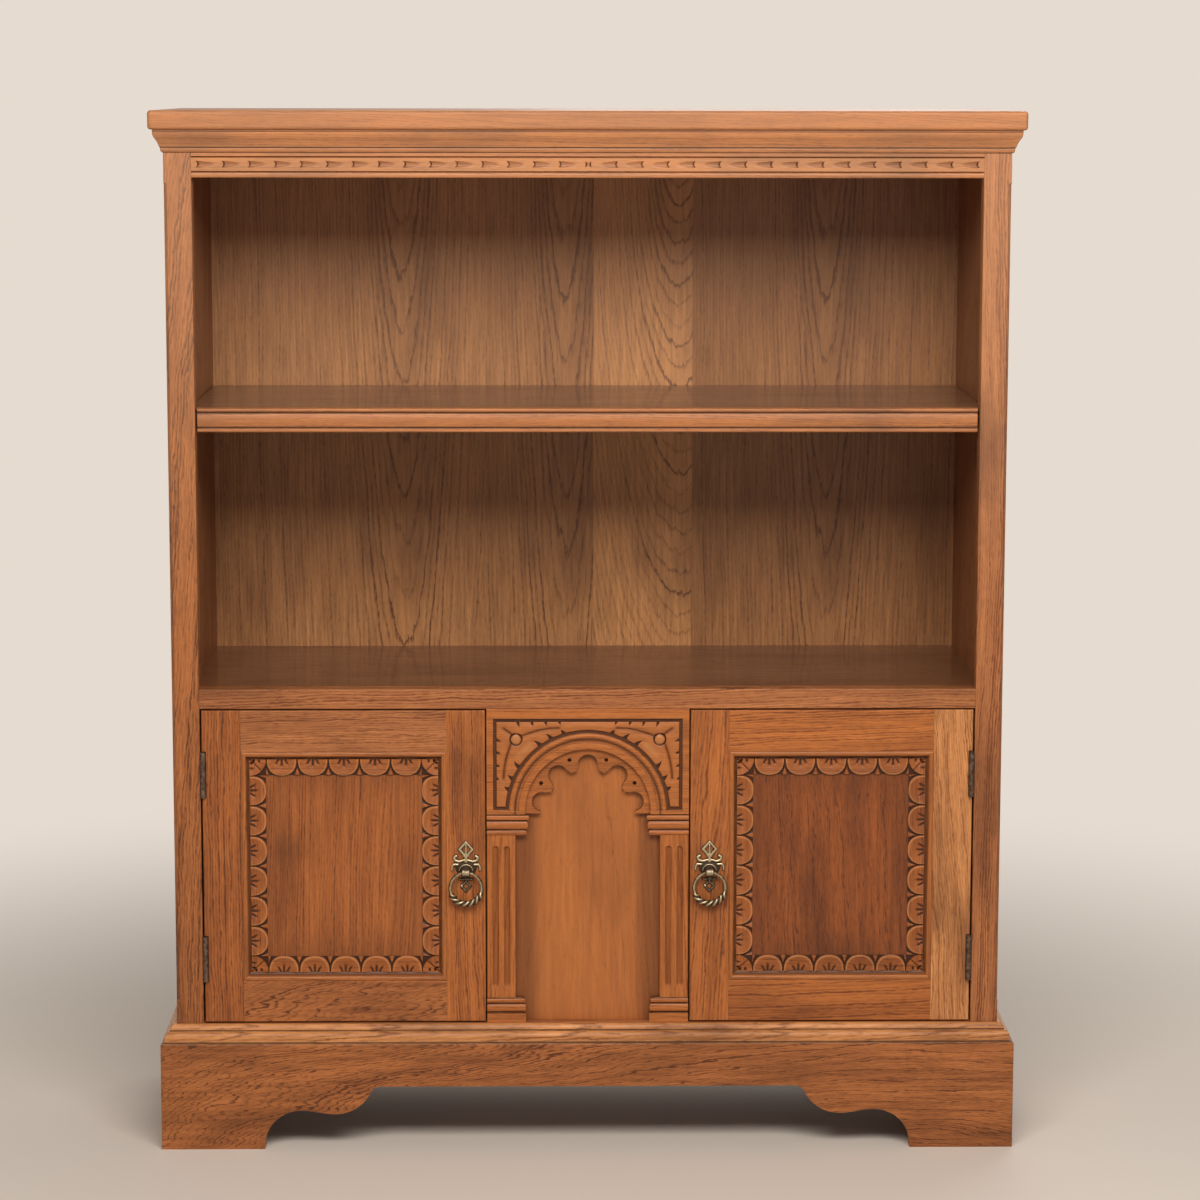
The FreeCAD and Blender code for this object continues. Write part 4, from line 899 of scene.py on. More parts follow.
class BOOKCASE_OT_frieze(bpy.types.Operator):
    """Carve the frieze: a bead, two grooves and a run of gouge cuts that face the middle"""
    bl_idname = "bookcase.frieze"
    bl_label = "Frieze"

    cell = 0.8 * MM
    # Rows of the grid on the bead and on the band.
    bead_rows = 11
    band_rows = 33
    # Stain on the band and on the other flats, and stain with painted shade in the grooves and in the
    # scoops.
    band_stain = 0.12
    flat_stain = 0.2
    groove_stain_and_shade = 0.7
    scoop_stain_and_shade = 0.52
    # How fast a scoop dies out, and how far its dark wall reaches: painted shade.
    fade = 1.2
    wall = 2.5 * MM

    def execute(self, context):
        cut = context.scene.frieze_cut
        low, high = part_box("frieze_rail")
        levels = self.levels(cut, high.z - low.z)
        columns = round((high.x - low.x) / self.cell)
        bm, across, up = relief_grid(columns, len(levels) - 1)
        x = low.x + across * (high.x - low.x)
        z = np.interp(up, np.linspace(0, 1, len(levels)), levels)
        lined, line_dark = self.lines(cut, z)
        gouged, gouge_dark = self.gouges(cut, x, z)
        depth = np.where(gouged > 0, cut.band_deep + gouged, lined)
        carve(bm, x, low.y + depth, low.z + z, np.maximum(line_dark, gouge_dark))
        close_back(bm, high.y)
        material = oak_material("oak_frieze", "xzy", "quarter", "cap", board_shift(5), 0.35, carved=True)
        settle("carved_frieze", bm, "carcass", material, "frieze_rail")
        return {"FINISHED"}

    def levels(self, cut, height):
        """Heights of the rows: close on the bead, in the grooves and on the band."""
        bead = np.linspace(0, cut.bead, self.bead_rows)
        in_groove = np.array([0.5, 1.0, 1.5]) * cut.groove
        band = np.linspace(0, cut.band, self.band_rows) + cut.bead + 2 * cut.groove
        upper = band[-1] + in_groove
        fillet = band[-1] + 2 * cut.groove + np.array([0, cut.fillet])
        return np.concatenate((bead, cut.bead + in_groove, band, upper, fillet, [height]))

    def lines(self, cut, z):
        """Depth of the bead, grooves and band behind the face, and how stained they are, with painted shade
        in the grooves.
        """
        turn = np.clip(2 * z / cut.bead - 1, -1, 1)
        depth = np.where(z <= cut.bead, cut.bead_round * (1 - np.sqrt(1 - turn ** 2)), 0)
        band_low = cut.bead + 2 * cut.groove
        band_high = band_low + cut.band
        on_band = (z >= band_low) & (z <= band_high)
        depth = np.where(on_band, cut.band_deep, depth)
        cuts = groove(np.abs(z - cut.bead - cut.groove), cut.groove)
        cuts = np.maximum(cuts, groove(np.abs(z - band_high - cut.groove), cut.groove))
        stain_and_shade = np.where(on_band, self.band_stain, self.flat_stain) + self.groove_stain_and_shade * cuts
        return np.maximum(depth, cuts * cut.groove_deep), stain_and_shade

    def gouges(self, cut, x, z):
        """Depth and staining, with painted shade, of the gouge cuts behind the band: a curved wall, and a
        scoop that dies out.
        """
        middle = cut.bead + 2 * cut.groove + cut.band / 2
        off = (z - middle) / cut.wide
        bow = cut.bulge * np.clip(1 - off ** 2, 0, 1)
        place = np.abs(x) - cut.first + bow
        index = np.ceil(place / cut.pitch)
        run = np.where(index < 1, cut.stab, cut.run)
        back = index * cut.pitch - place
        share = np.clip(back / run, 0, 1)
        half = cut.wide + (cut.tip - cut.wide) * share
        scoop = (1 - share) ** self.fade * np.sqrt(np.clip(1 - ((z - middle) / half) ** 2, 0, 1))
        scoop = np.where(index < 0, 0, scoop)
        wall = np.sqrt(scoop) * np.clip(1.3 - back / self.wall, 0, 1)
        return scoop * cut.deep, np.maximum(self.scoop_stain_and_shade * smooth_step(scoop, 0.02, 0.2), wall)


class BOOKCASE_OT_borders(bpy.types.Operator):
    """Carve the lunettes round both door panels"""
    bl_idname = "bookcase.borders"
    bl_label = "Door borders"

    cell = 0.5 * MM
    # Power of a lunette's oval, which is a little squarer than an ellipse, and where its rim rolls over.
    power = 2.4
    roll = 0.80
    # Gouges lean out by this share of their length, and the outer two are shorter.
    fan = 0.5
    gouge_share = (1.1, 0.8)
    # Stain of the dish, partly painted shade; how much less its rim has, a painted highlight; the stain of
    # the gouges and the ground, partly painted shade; and how much less the darts have, a painted
    # highlight.
    dish_stain_and_shade = 0.42
    rim_highlight = 0.34
    gouge_stain_and_shade = 0.90
    ground_stain_and_shade = 0.95
    dart_highlight = 0.6
    leaf_stain = 0.26
    # Drops cut in a corner leaf: along its edge, in from the edge, half length and half width. Half
    # the width of its vein.
    drops = (4.5 * MM, 10.5 * MM)
    drop_in = 2.2 * MM
    drop_long = 2.6 * MM
    drop_wide = 1.5 * MM
    vein = 1.3 * MM

    def execute(self, context):
        cut = context.scene.border_cut
        for side, _ in SIDES:
            node = side + "_carved_border"
            material = oak_material(
                "oak_" + node, "", "plain", "panel", board_shift(3), 0.45, strips=node, carved=True)
            bm, back = self.border(cut, node)
            close_back(bm, back)
            settle(side + "_lunettes", bm, side + "_door", material, node)
        return {"FINISHED"}

    def border(self, cut, node):
        """One carved grid round the panel, open in the middle."""
        low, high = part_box(node)
        wide = self.strip_width(node)
        size_x = high.x - low.x
        size_z = high.z - low.z
        bm, across, up = relief_grid(round(size_x / self.cell), round(size_z / self.cell))
        x = (across - 0.5) * size_x
        z = (up - 0.5) * size_z
        in_x = size_x / 2 - np.abs(x)
        in_z = size_z / 2 - np.abs(z)
        pitch_x = (size_x - 2 * wide) / cut.across
        pitch_z = (size_z - 2 * wide) / cut.upright
        on_side = in_x < in_z
        from_edge = np.where(on_side, in_x, in_z)
        along = np.where(on_side, in_z, in_x) - wide
        pitch = np.where(on_side, pitch_z, pitch_x)
        height, hollow = self.lunette(cut, (along % pitch) - pitch / 2, from_edge, pitch)
        leaf, leaf_hollow = self.corner(cut, in_x, in_z)
        height = np.where(along < 0, leaf, height)
        hollow = np.where(along < 0, leaf_hollow, hollow)
        carve(bm, (low.x + high.x) / 2 + x, high.y - height, (low.z + high.z) / 2 + z, hollow)
        inner = wide - self.cell / 4
        bare = [face for face in bm.faces if self.is_bare(face, low, high, inner)]
        bmesh.ops.delete(bm, geom=bare, context="FACES")
        return bm, high.y

    def strip_width(self, node):
        """Width of the strips, from the corner of the frame to the bare panel."""
        low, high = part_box(node)
        points = np.array([vert.co[:] for vert in NODES[node].data.vertices])
        inside = points[(points[:, 0] > low.x + MM) & (points[:, 0] < (low.x + high.x) / 2)]
        return float(inside[:, 0].min() - low.x)

    def is_bare(self, face, low, high, inner):
        place = face.calc_center_median()
        return (low.x + inner < place.x < high.x - inner) and (low.z + inner < place.z < high.z - inner)

    def lunette(self, cut, along, out, pitch):
        """Height, and staining with painted shade and painted highlight, of a lunette whose flat side lies
        on the outer edge.
        """
        oval_reach = np.abs(along / cut.half) ** self.power + (out / cut.tall) ** self.power
        reach = oval_reach ** (1 / self.power)
        inside = 1 - smooth_step(reach, 0.97, 1.01)
        rim = smooth_step(reach, 0.78, 0.92)
        rolled = np.clip((reach - self.roll) / (1 - self.roll), 0, 1.2)
        dished = cut.dish + cut.rise * reach ** 2 - cut.rim * rolled ** 2
        gouged = np.zeros_like(along)
        for step in (-1, 0, 1):
            place = step * (cut.gouge_set / 2 + self.fan * out)
            long = cut.gouge_long * self.gouge_share[abs(step)]
            finger = np.clip(2.2 * groove(np.abs(along - place), cut.gouge_wide), 0, 1)
            gouged = np.maximum(gouged, finger * (1 - smooth_step(out, 0.6 * long, long)))
        dished = np.maximum(dished - gouged * cut.gouge_deep, cut.ground)
        aside = pitch / 2 - np.abs(along)
        start = cut.tall - cut.dart
        half = np.clip((out - start) / cut.dart, 0.02, 1) * cut.dart_wide
        dart = np.clip(1 - (aside / half) ** 2, 0, 1) * (out > start)
        dart = dart * (1 - smooth_step(out, cut.tall - MM, cut.tall))
        ground = cut.ground + (cut.dart_high - cut.ground) * np.sqrt(dart)
        height = inside * dished + (1 - inside) * ground
        stain_and_shade = np.maximum(self.dish_stain_and_shade - self.rim_highlight * rim, self.gouge_stain_and_shade * gouged)
        return height, inside * stain_and_shade + (1 - inside) * (self.ground_stain_and_shade - self.dart_highlight * dart)

    def corner(self, cut, in_x, in_z):
        """Height, and staining with painted shade, of the quarter leaf in a corner, with a vein to the
        corner.
        """
        reach = np.hypot(in_x, in_z) / cut.tall
        inside = 1 - smooth_step(reach, 0.98, 1.03)
        gouged = groove(np.abs(in_x - in_z), self.vein)
        for along, aside in ((in_x, in_z), (in_z, in_x)):
            for place in self.drops:
                drop = oval((aside - self.drop_in) / self.drop_long, (along - place) / self.drop_wide)
                gouged = np.maximum(gouged, np.sqrt(drop))
        leaf = cut.dish + cut.rise * np.clip(reach, 0, 1) ** 2 - 0.8 * cut.gouge_deep * gouged
        height = inside * leaf + (1 - inside) * cut.ground
        return height, inside * np.maximum(self.leaf_stain, gouged) + (1 - inside) * self.ground_stain_and_shade


class BOOKCASE_OT_spandrels(bpy.types.Operator):
    """Carve the leaves over the arch, one piece across its crown"""
    bl_idname = "bookcase.spandrels"
    bl_label = "Spandrel leaves"

    # Places on the right half in millimetres: from the middle, and above the arch centre.
    corner = (104.8, 104.0)
    foot = 1.0
    arch = 87.4
    boss = (79.5, 80.6)
    top_notches = ((77.4, 6.5), (61.9, 5.6), (46.8, 4.8), (31.4, 4.0))
    side_notches = ((79.7, 6.0), (65.7, 5.2), (51.1, 4.4), (36.5, 3.5))
    # Hooks beside the arch: degrees from its springing, and depth.
    hooks = ((73.0, 5.5), (63.5, 7.5), (54.5, 9.0), (33.0, 8.0), (23.5, 6.5), (15.5, 5.5))
    veins = (
        ((73.2, 84.5), (61.6, 88.4), (53.8, 90.8), (43.7, 92.7), (32.1, 93.1)),
        ((85.6, 74.3), (88.7, 64.8), (90.9, 56.2), (92.4, 47.5), (93.4, 36.5)),
        ((93.3, 92.8), (84.0, 86.1)),
    )
    # How far a notch has bent aside at its end, as a share of its depth.
    bend = 0.32
    # Tooled scoop beside the arch: out from it and half width, then degrees up and half its sweep.
    scoop = (8.0, 4.5)
    scoop_turn = (47.0, 11.0)
    scoop_deep = 0.9 * MM
    tool_deep = 0.16 * MM
    tool_across = 0.8 * MM
    tool_up = 0.5 * MM
    # Groove round the boss: out from its edge, and half its width.
    moat = 0.7 * MM
    moat_wide = 1.6 * MM
    # Ground of the recess behind the face of the arch head.
    recess = 3.0 * MM
    columns = 640
    rows = 84

    def execute(self, context):
        cut = context.scene.leaf_cut
        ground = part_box("arch_head")[0].y + self.recess
        bm, turn, out = relief_grid(self.columns, self.rows)
        x, z = self.outline(cut, turn, out)
        height, hollow = self.leaf(cut, np.abs(x), z)
        carve(bm, x, ground - height, arch_centre() + z, hollow)
        close_back(bm, ground)
        material = oak_material("oak_spandrels", "xzy", "plain", "field", board_shift(8), 0.25, carved=True)
        settle("spandrel_leaves", bm, "carcass", material)
        return {"FINISHED"}

    def outline(self, cut, turn, out):
        """Spread a grid between the arch and the frame of the recess."""
        wide = self.corner[0] * MM - cut.margin
        high = self.corner[1] * MM - cut.margin
        foot = self.foot * MM + cut.margin
        inner = self.arch * MM + cut.margin
        side = np.sign(0.5 - turn)
        start = math.asin(foot / inner)
        angle = start + (math.pi / 2 - start) * (1 - np.abs(2 * turn - 1))
        corner = math.atan2(high, wide)
        on_side = angle < corner
        climb = np.tan(np.minimum(angle, corner)) - math.tan(start)
        climb = climb / (math.tan(corner) - math.tan(start))
        edge_x = np.where(on_side, wide, high / np.tan(np.maximum(angle, corner)))
        edge_z = np.where(on_side, foot + climb * (high - foot), high)
        near_x = inner * np.cos(angle)
        near_z = inner * np.sin(angle)
        return side * (near_x + out * (edge_x - near_x)), near_z + out * (edge_z - near_z)

    def leaf(self, cut, x, z):
        """Height over the ground, and staining with painted shade and painted highlight, of the leaf, from
        its veins, notches, scoop and boss.
        """
        top = self.corner[1] * MM - cut.margin - z
        side = self.corner[0] * MM - cut.margin - x
        foot = z - self.foot * MM - cut.margin
        arch = np.hypot(x, z) - self.arch * MM - cut.margin
        inward = np.minimum(np.minimum(top, side), np.minimum(foot, arch))
        cuts = np.zeros_like(x)
        folds = np.zeros_like(x)
        lines = np.zeros_like(x)
        for points in self.veins:
            away = distance_to_line(x, z, [(a * MM, b * MM) for a, b in points])
            lines = np.maximum(lines, groove(away, cut.vein))
            folds = np.maximum(folds, np.exp(-(away / cut.fold) ** 2))
        angle = np.degrees(np.arctan2(z, x))
        notches = [(x - place * MM, top, deep * MM, cut.notch) for place, deep in self.top_notches]
        notches += [(z - place * MM, side, deep * MM, cut.notch) for place, deep in self.side_notches]
        for place, deep in self.hooks:
            along = np.radians(angle - place) * self.arch * MM * math.copysign(1, place - 45)
            notches.append((along, arch, deep * MM, cut.hook))
        for notch in notches:
            cuts = np.maximum(cuts, self.notch(*notch))
            folds = np.maximum(folds, self.valley(*notch))
        boss_x, boss_z = self.boss
        from_boss = np.hypot(x - boss_x * MM, z - boss_z * MM)
        dome = np.sqrt(np.clip(1 - (from_boss / cut.boss) ** 2, 0, 1))
        cuts = np.maximum(cuts, groove(np.abs(from_boss - cut.boss - self.moat), self.moat_wide))
        out, half = self.scoop
        turn, sweep = self.scoop_turn
        scooped = np.exp(-((arch - out * MM) / (half * MM)) ** 2 - ((angle - turn) / sweep) ** 2)
        tooled = self.tool_deep * np.sin(z / self.tool_up) * np.sin(x / self.tool_across) * scooped
        pillow = 0.7 * np.sqrt(smooth_step(inward, -0.6 * MM, 1.6 * MM))
        pillow = pillow + 0.3 * smooth_step(inward, 0, 7 * MM)
        height = cut.high * (pillow - 0.4 * folds) - self.scoop_deep * scooped - tooled
        height = np.where(dome > 0, 0.3 * cut.crest + 0.7 * cut.crest * dome,
                          height - np.maximum(cuts, lines) * cut.vein_deep)
        # Painted shade in the folds, veins, notches and along the edge of the leaf; painted highlight on
        # the tooled scoop.
        hollow = 0.18 + 0.4 * folds + 0.15 * lines - 0.12 * scooped + cuts * (dome == 0)
        hollow = np.maximum(hollow, 1 - smooth_step(inward, 0, 1.2 * MM))
        return np.maximum(height, 0.2 * MM), np.where(dome > 0.3, 0.05, hollow)

    def valley(self, along, inward, deep, half):
        """Soft hollow round a notch and beyond its end, between two leaflets."""
        share = np.clip(inward / (1.7 * deep), 0, 1)
        bent = along + self.bend * deep * share ** 2
        return np.exp(-(bent / (1.3 * half)) ** 2) * (1 - share)

    def notch(self, along, inward, deep, half):
        """A comma cut in from the edge, bent a little as it narrows."""
        share = np.clip(inward / deep, 0, 1)
        bent = along + self.bend * deep * share ** 2
        return np.clip(1.8 * groove(np.abs(bent), half * (1.05 - share)), 0, 1) * (inward < deep)


def rod(bm, start, end, radius, end_radius):
    """Round bar with ball ends between two points."""
    way = end - start
    turn = way.to_track_quat("Z", "Y").to_matrix().to_4x4()
    bmesh.ops.create_cone(bm, cap_ends=True, segments=14, radius1=radius, radius2=end_radius,
                          depth=way.length, matrix=Matrix.Translation((start + end) / 2) @ turn)
    for place, size in ((start, radius), (end, end_radius)):
        bmesh.ops.create_icosphere(bm, subdivisions=2, radius=size, matrix=Matrix.Translation(place))


def cut_flat(bm, place, outward):
    """Take off all that lies past a plane and close the cut."""
    geometry = [*bm.verts, *bm.edges, *bm.faces]
    bmesh.ops.bisect_plane(bm, geom=geometry, plane_co=place, plane_no=outward, clear_outer=True)
    bmesh.ops.holes_fill(bm, edges=[edge for edge in bm.edges if edge.is_boundary])


def turned(bm, profile, axis, centre, steps=40):
    """Spin a profile of points about an axis. A profile that closes on itself ends where it starts."""
    verts = [bm.verts.new(point) for point in profile]
    edges = [bm.edges.new(pair) for pair in zip(verts, verts[1:])]
    bmesh.ops.spin(bm, geom=[*verts, *edges], cent=centre, axis=axis, angle=math.tau, steps=steps,
                   use_merge=True)
    bmesh.ops.remove_doubles(bm, verts=bm.verts, dist=0.01 * MM)


# Waves to the metre in the tarnish of the brass.
BRASS_GRAIN = 420.0


def eye_place(side, pull):
    """Middle of the eye of a pull."""
    low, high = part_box(side + "_pull_post")
    plate_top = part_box(side + "_pull_plate")[1].z
    door_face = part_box(side + "_lock_stile")[0].y
    return Vector(((low.x + high.x) / 2, door_face - pull.reach, plate_top - pull.finial))


class BOOKCASE_OT_pull_plates(bpy.types.Operator):
    """Cast backplates of the pulls: pierced finial, curls, ears, dome and pendant"""
    bl_idname = "bookcase.pull_plates"
    bl_label = "Pull plates"

    # Bars as points (across, up) in millimetres from the eye, with a radius at each end.
    middle_bars = (
        (((0, 33.0), (7.2, 24.6)), 1.3, 1.5),
        (((0, 33.0), (-7.2, 24.6)), 1.5, 2.3),
        (((0, 29.5), (0, 20.0)), 0.9, 1.4),
        (((0, 20.0), (0, 11.0)), 2.2, 3.0),
    )
    paired_bars = (
        (((7.2, 24.6), (3.4, 20.4), (1.6, 17.0)), 1.6, 1.6),
        (((2.0, 12.6), (7.6, 11.0), (12.0, 12.4), (13.2, 15.6), (10.8, 17.2)), 1.5, 2.1),
        (((9.0, 7.6), (13.6, 7.8), (15.4, 5.2), (15.4, 1.6)), 1.7, 1.3),
    )
    low_bars = (
        (((0, -8.4), (4.6, -9.6), (7.4, -8.4)), 1.4, 1.5),
        (((0, -5.0), (0, -12.0)), 2.6, 1.6),
        (((0, -12.0), (5.2, -16.4), (0, -22.8)), 1.6, 1.5),
    )
    stud = (-4.9, -16.4)
    crest = 2.9
    # The pendant bars stand lower, so the height mask paints them dark: painted shade under the ring.
    low_crest = 2.3
    dome = (12.2, 9.6, 2.1)
    dome_up = 4.0
    rim = 7.4
    rim_round = 0.8
    rim_up = 1.9
    # Tarnished below one height over the door face, in millimetres, and rubbed at the other: patina and
    # wear, with painted shade on the low dome and pendant and painted highlight on the crests.
    rubbed = (1.7, 3.0)
    voxel = 0.28 * MM

    def execute(self, context):
        pull = context.scene.pull_work
        for side, _ in SIDES:
            eye = eye_place(side, pull)
            face = eye + Vector((0, pull.reach, 0))
            bm = bmesh.new()
            self.casting(bm, face)
            cut_flat(bm, face, (0, 1, 0))
            brass = metal_material(side + "_plate_brass", "brass", "brass_dark", 0.5, BRASS_GRAIN,
                                   (1, *[face.y - high * MM for high in self.rubbed]))
            plate = settle(side + "_cast_plate", bm, side + "_door", brass,
                           side + "_pull_plate", 180.0)
            fused = plate.modifiers.new("fused casting", "REMESH")
            fused.mode = "VOXEL"
            fused.voxel_size = self.voxel
            fused.use_smooth_shade = True
            softened = plate.modifiers.new("softened", "SMOOTH")
            softened.factor = 0.5
            softened.iterations = 2
        return {"FINISHED"}

    def casting(self, bm, face):
        """All bars and swellings of one plate, laid on the door face."""
        for points, start, end in self.middle_bars:
            self.bar(bm, face, points, (start, end), self.crest, 1)
        for mirror in (-1, 1):
            for points, start, end in self.paired_bars:
                self.bar(bm, face, points, (start, end), self.crest, mirror)
            for points, start, end in self.low_bars:
                self.bar(bm, face, points, (start, end), self.low_crest, mirror)
        self.bar(bm, face, (self.stud, (self.stud[0], self.stud[1] - 0.5)), (1.9, 1.9), self.crest, 1)
        wide, tall, deep = [value * MM for value in self.dome]
        swelling = Matrix.Translation(face + Vector((0, 0, self.dome_up * MM)))
        swelling = swelling @ Matrix.Diagonal((wide, deep, tall, 1))
        bmesh.ops.create_uvsphere(bm, u_segments=32, v_segments=20, radius=1.0, matrix=swelling)
        arch = [Vector((self.rim * MM * math.cos(turn), -self.rim_up * MM, self.rim * MM * math.sin(turn)))
                for turn in np.linspace(0.1, math.pi - 0.1, 13)]
        for start, end in zip(arch, arch[1:]):
            rod(bm, face + start, face + end, self.rim_round * MM, self.rim_round * MM)

    def bar(self, bm, face, points, radii, crest, mirror):
        """A bar whose crest stands at one height along its length, down to the door."""
        radii = np.linspace(*radii, len(points))
        for share in (1, 0.4):
            path = [face + Vector((mirror * x, -share * (crest - radius), z)) * MM
                    for (x, z), radius in zip(points, radii)]
            for index in range(len(path) - 1):
                rod(bm, path[index], path[index + 1], radii[index] * MM, radii[index + 1] * MM)


class BOOKCASE_OT_pull_posts(bpy.types.Operator):
    """Eyes of the pulls, each with its bolt through the door and a nut behind"""
    bl_idname = "bookcase.pull_posts"
    bl_label = "Pull posts"

    # Tarnished behind one depth in front of the middle of the eye, and brightest this far over the drum:
    # patina and wear, with painted highlight on the front of the drum and painted shade round it.
    tarnished_and_shaded = 3.2 * MM
    highlight_reach = 1.6 * MM
    ease = 0.9 * MM
    neck = 3.4 * MM
    neck_start = 4.1 * MM
    bolt_ease = 0.4 * MM
    nut_ease = 0.4 * MM

    def execute(self, context):
        pull = context.scene.pull_work
        for side, _ in SIDES:
            eye = eye_place(side, pull)
            plate_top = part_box(side + "_pull_plate")[0].y
            bolt_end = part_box(side + "_pull_post")[1].y
            door_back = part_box(side + "_lock_stile")[1].y
            bm = bmesh.new()
            self.drum(bm, eye, pull)
            self.bolt(bm, eye, plate_top, bolt_end, pull)
            self.nut(bm, eye, door_back, pull)
            crest = eye.y - pull.drum_round - self.highlight_reach
            brass = metal_material(side + "_post_brass", "brass", "brass_dark", 0.5, BRASS_GRAIN,
                                   (1, eye.y - self.tarnished_and_shaded, crest))
            settle(side + "_eye_post", bm, side + "_door", brass, side + "_pull_post", 35.0)
        return {"FINISHED"}

    def drum(self, bm, eye, pull):
        """Rounded tube that holds the ring."""
        half = pull.drum
        flat = half - self.ease
        shoulder = pull.drum_round - self.ease
        shape = ((-half, pull.eye), (-half, shoulder), (-flat, pull.drum_round), (flat, pull.drum_round),
                 (half, shoulder), (half, pull.eye), (-half, pull.eye))
        profile = [eye + Vector((x, 0, radius)) for x, radius in shape]
        turned(bm, profile, (1, 0, 0), eye)

    def bolt(self, bm, eye, plate_top, bolt_end, pull):
        """Neck, collar and bolt behind the drum."""
        start = eye.y + self.neck_start
        collar = pull.drum_round
        shape = ((0, start), (self.neck, start), (self.neck, plate_top - 0.9 * MM),
                 (collar - 0.5 * MM, plate_top - 0.8 * MM), (collar, plate_top - 0.4 * MM),
                 (collar, plate_top), (pull.bolt, plate_top), (pull.bolt, bolt_end - self.bolt_ease),
                 (pull.bolt - self.bolt_ease, bolt_end), (0, bolt_end))
        profile = [Vector((eye.x + radius, y, eye.z)) for radius, y in shape]
        turned(bm, profile, (0, 1, 0), eye)

    def nut(self, bm, eye, door_back, pull):
        """Six-sided nut with eased corners."""
        middle = Matrix.Translation((eye.x, door_back + pull.nut_thick / 2, eye.z))
        lying = middle @ Matrix.Rotation(math.pi / 2, 4, "X")
        made = bmesh.ops.create_cone(bm, cap_ends=True, segments=6, radius1=pull.nut, radius2=pull.nut,
                                     depth=pull.nut_thick, matrix=lying)
        edges = {edge for vert in made["verts"] for edge in vert.link_edges}
        bmesh.ops.bevel(bm, geom=list(edges), offset=self.nut_ease, offset_type="OFFSET", affect="EDGES",
                        segments=2, profile=0.5, material=-1)


class BOOKCASE_OT_rings(bpy.types.Operator):
    """Loose rings with a rope twist along the grip"""
    bl_idname = "bookcase.rings"
    bl_label = "Rings"

    steps = 200
    sides = 24
    strands = 3
    # The twist runs this far up each side from the bottom, and tapers out over these angles.
    grip = math.radians(68)
    tapers = (math.radians(5), math.radians(16))

    def execute(self, context):
        pull = context.scene.pull_work
        for side, _ in SIDES:
            eye = eye_place(side, pull)
            centre = eye - Vector((0, 0, pull.ring))
            bm = bmesh.new()
            section = Matrix.Translation(eye) @ Matrix.Rotation(math.pi / 2, 4, "Y")
            made = bmesh.ops.create_circle(bm, segments=self.sides, radius=pull.thin, matrix=section)
            edges = {edge for vert in made["verts"] for edge in vert.link_edges}
            bmesh.ops.spin(bm, geom=[*made["verts"], *edges], cent=centre, axis=(0, 1, 0), angle=math.tau,
                           steps=self.steps, use_merge=True)
            bmesh.ops.remove_doubles(bm, verts=bm.verts, dist=0.01 * MM)
            layer = bm.verts.layers.float.new("rubbed")
            for vert in bm.verts:
                vert.co, vert[layer] = self.twisted(vert.co, centre, pull)
            brass = metal_material(side + "_ring_brass", "brass", "brass_dark", grain=BRASS_GRAIN,
                                   crests="rubbed")
            settle(side + "_twisted_ring", bm, side + "_ring", brass,
                   side + "_ring_pull", 60.0)
        return {"FINISHED"}

    def twisted(self, place, centre, pull):
        """Where a point of the plain ring goes on the twisted grip, and how bright it is painted: worn
        strands, with painted highlight on the side towards the front.
        """
        turn = math.atan2(place.x - centre.x, centre.z - place.z)
        outward = Vector((math.sin(turn), 0, -math.cos(turn)))
        middle = centre + outward * pull.ring
        off = (place - middle).normalized()
        around = math.atan2(off.dot(outward), -off.y)
        phase = self.strands * around + math.tau * turn * pull.ring / pull.strand
        strand = abs(math.cos(phase / 2))
        taper = self.tapers[turn > 0]
        share = min(max((self.grip - abs(turn)) / taper + 0.5, 0), 1)
        radius = pull.thin + share * (pull.valley + pull.ridge * strand - pull.thin)
        # Painted highlight on the side that faces the front, painted shade on the other sides.
        front = max(-off.y, 0)
        plain = front * (0.6 - 0.4 * off.dot(outward))
        twist = front * (strand ** 2 * 1.25 - 0.25)
        return middle + off * radius, min(max(plain + share * (twist - plain), 0), 1)


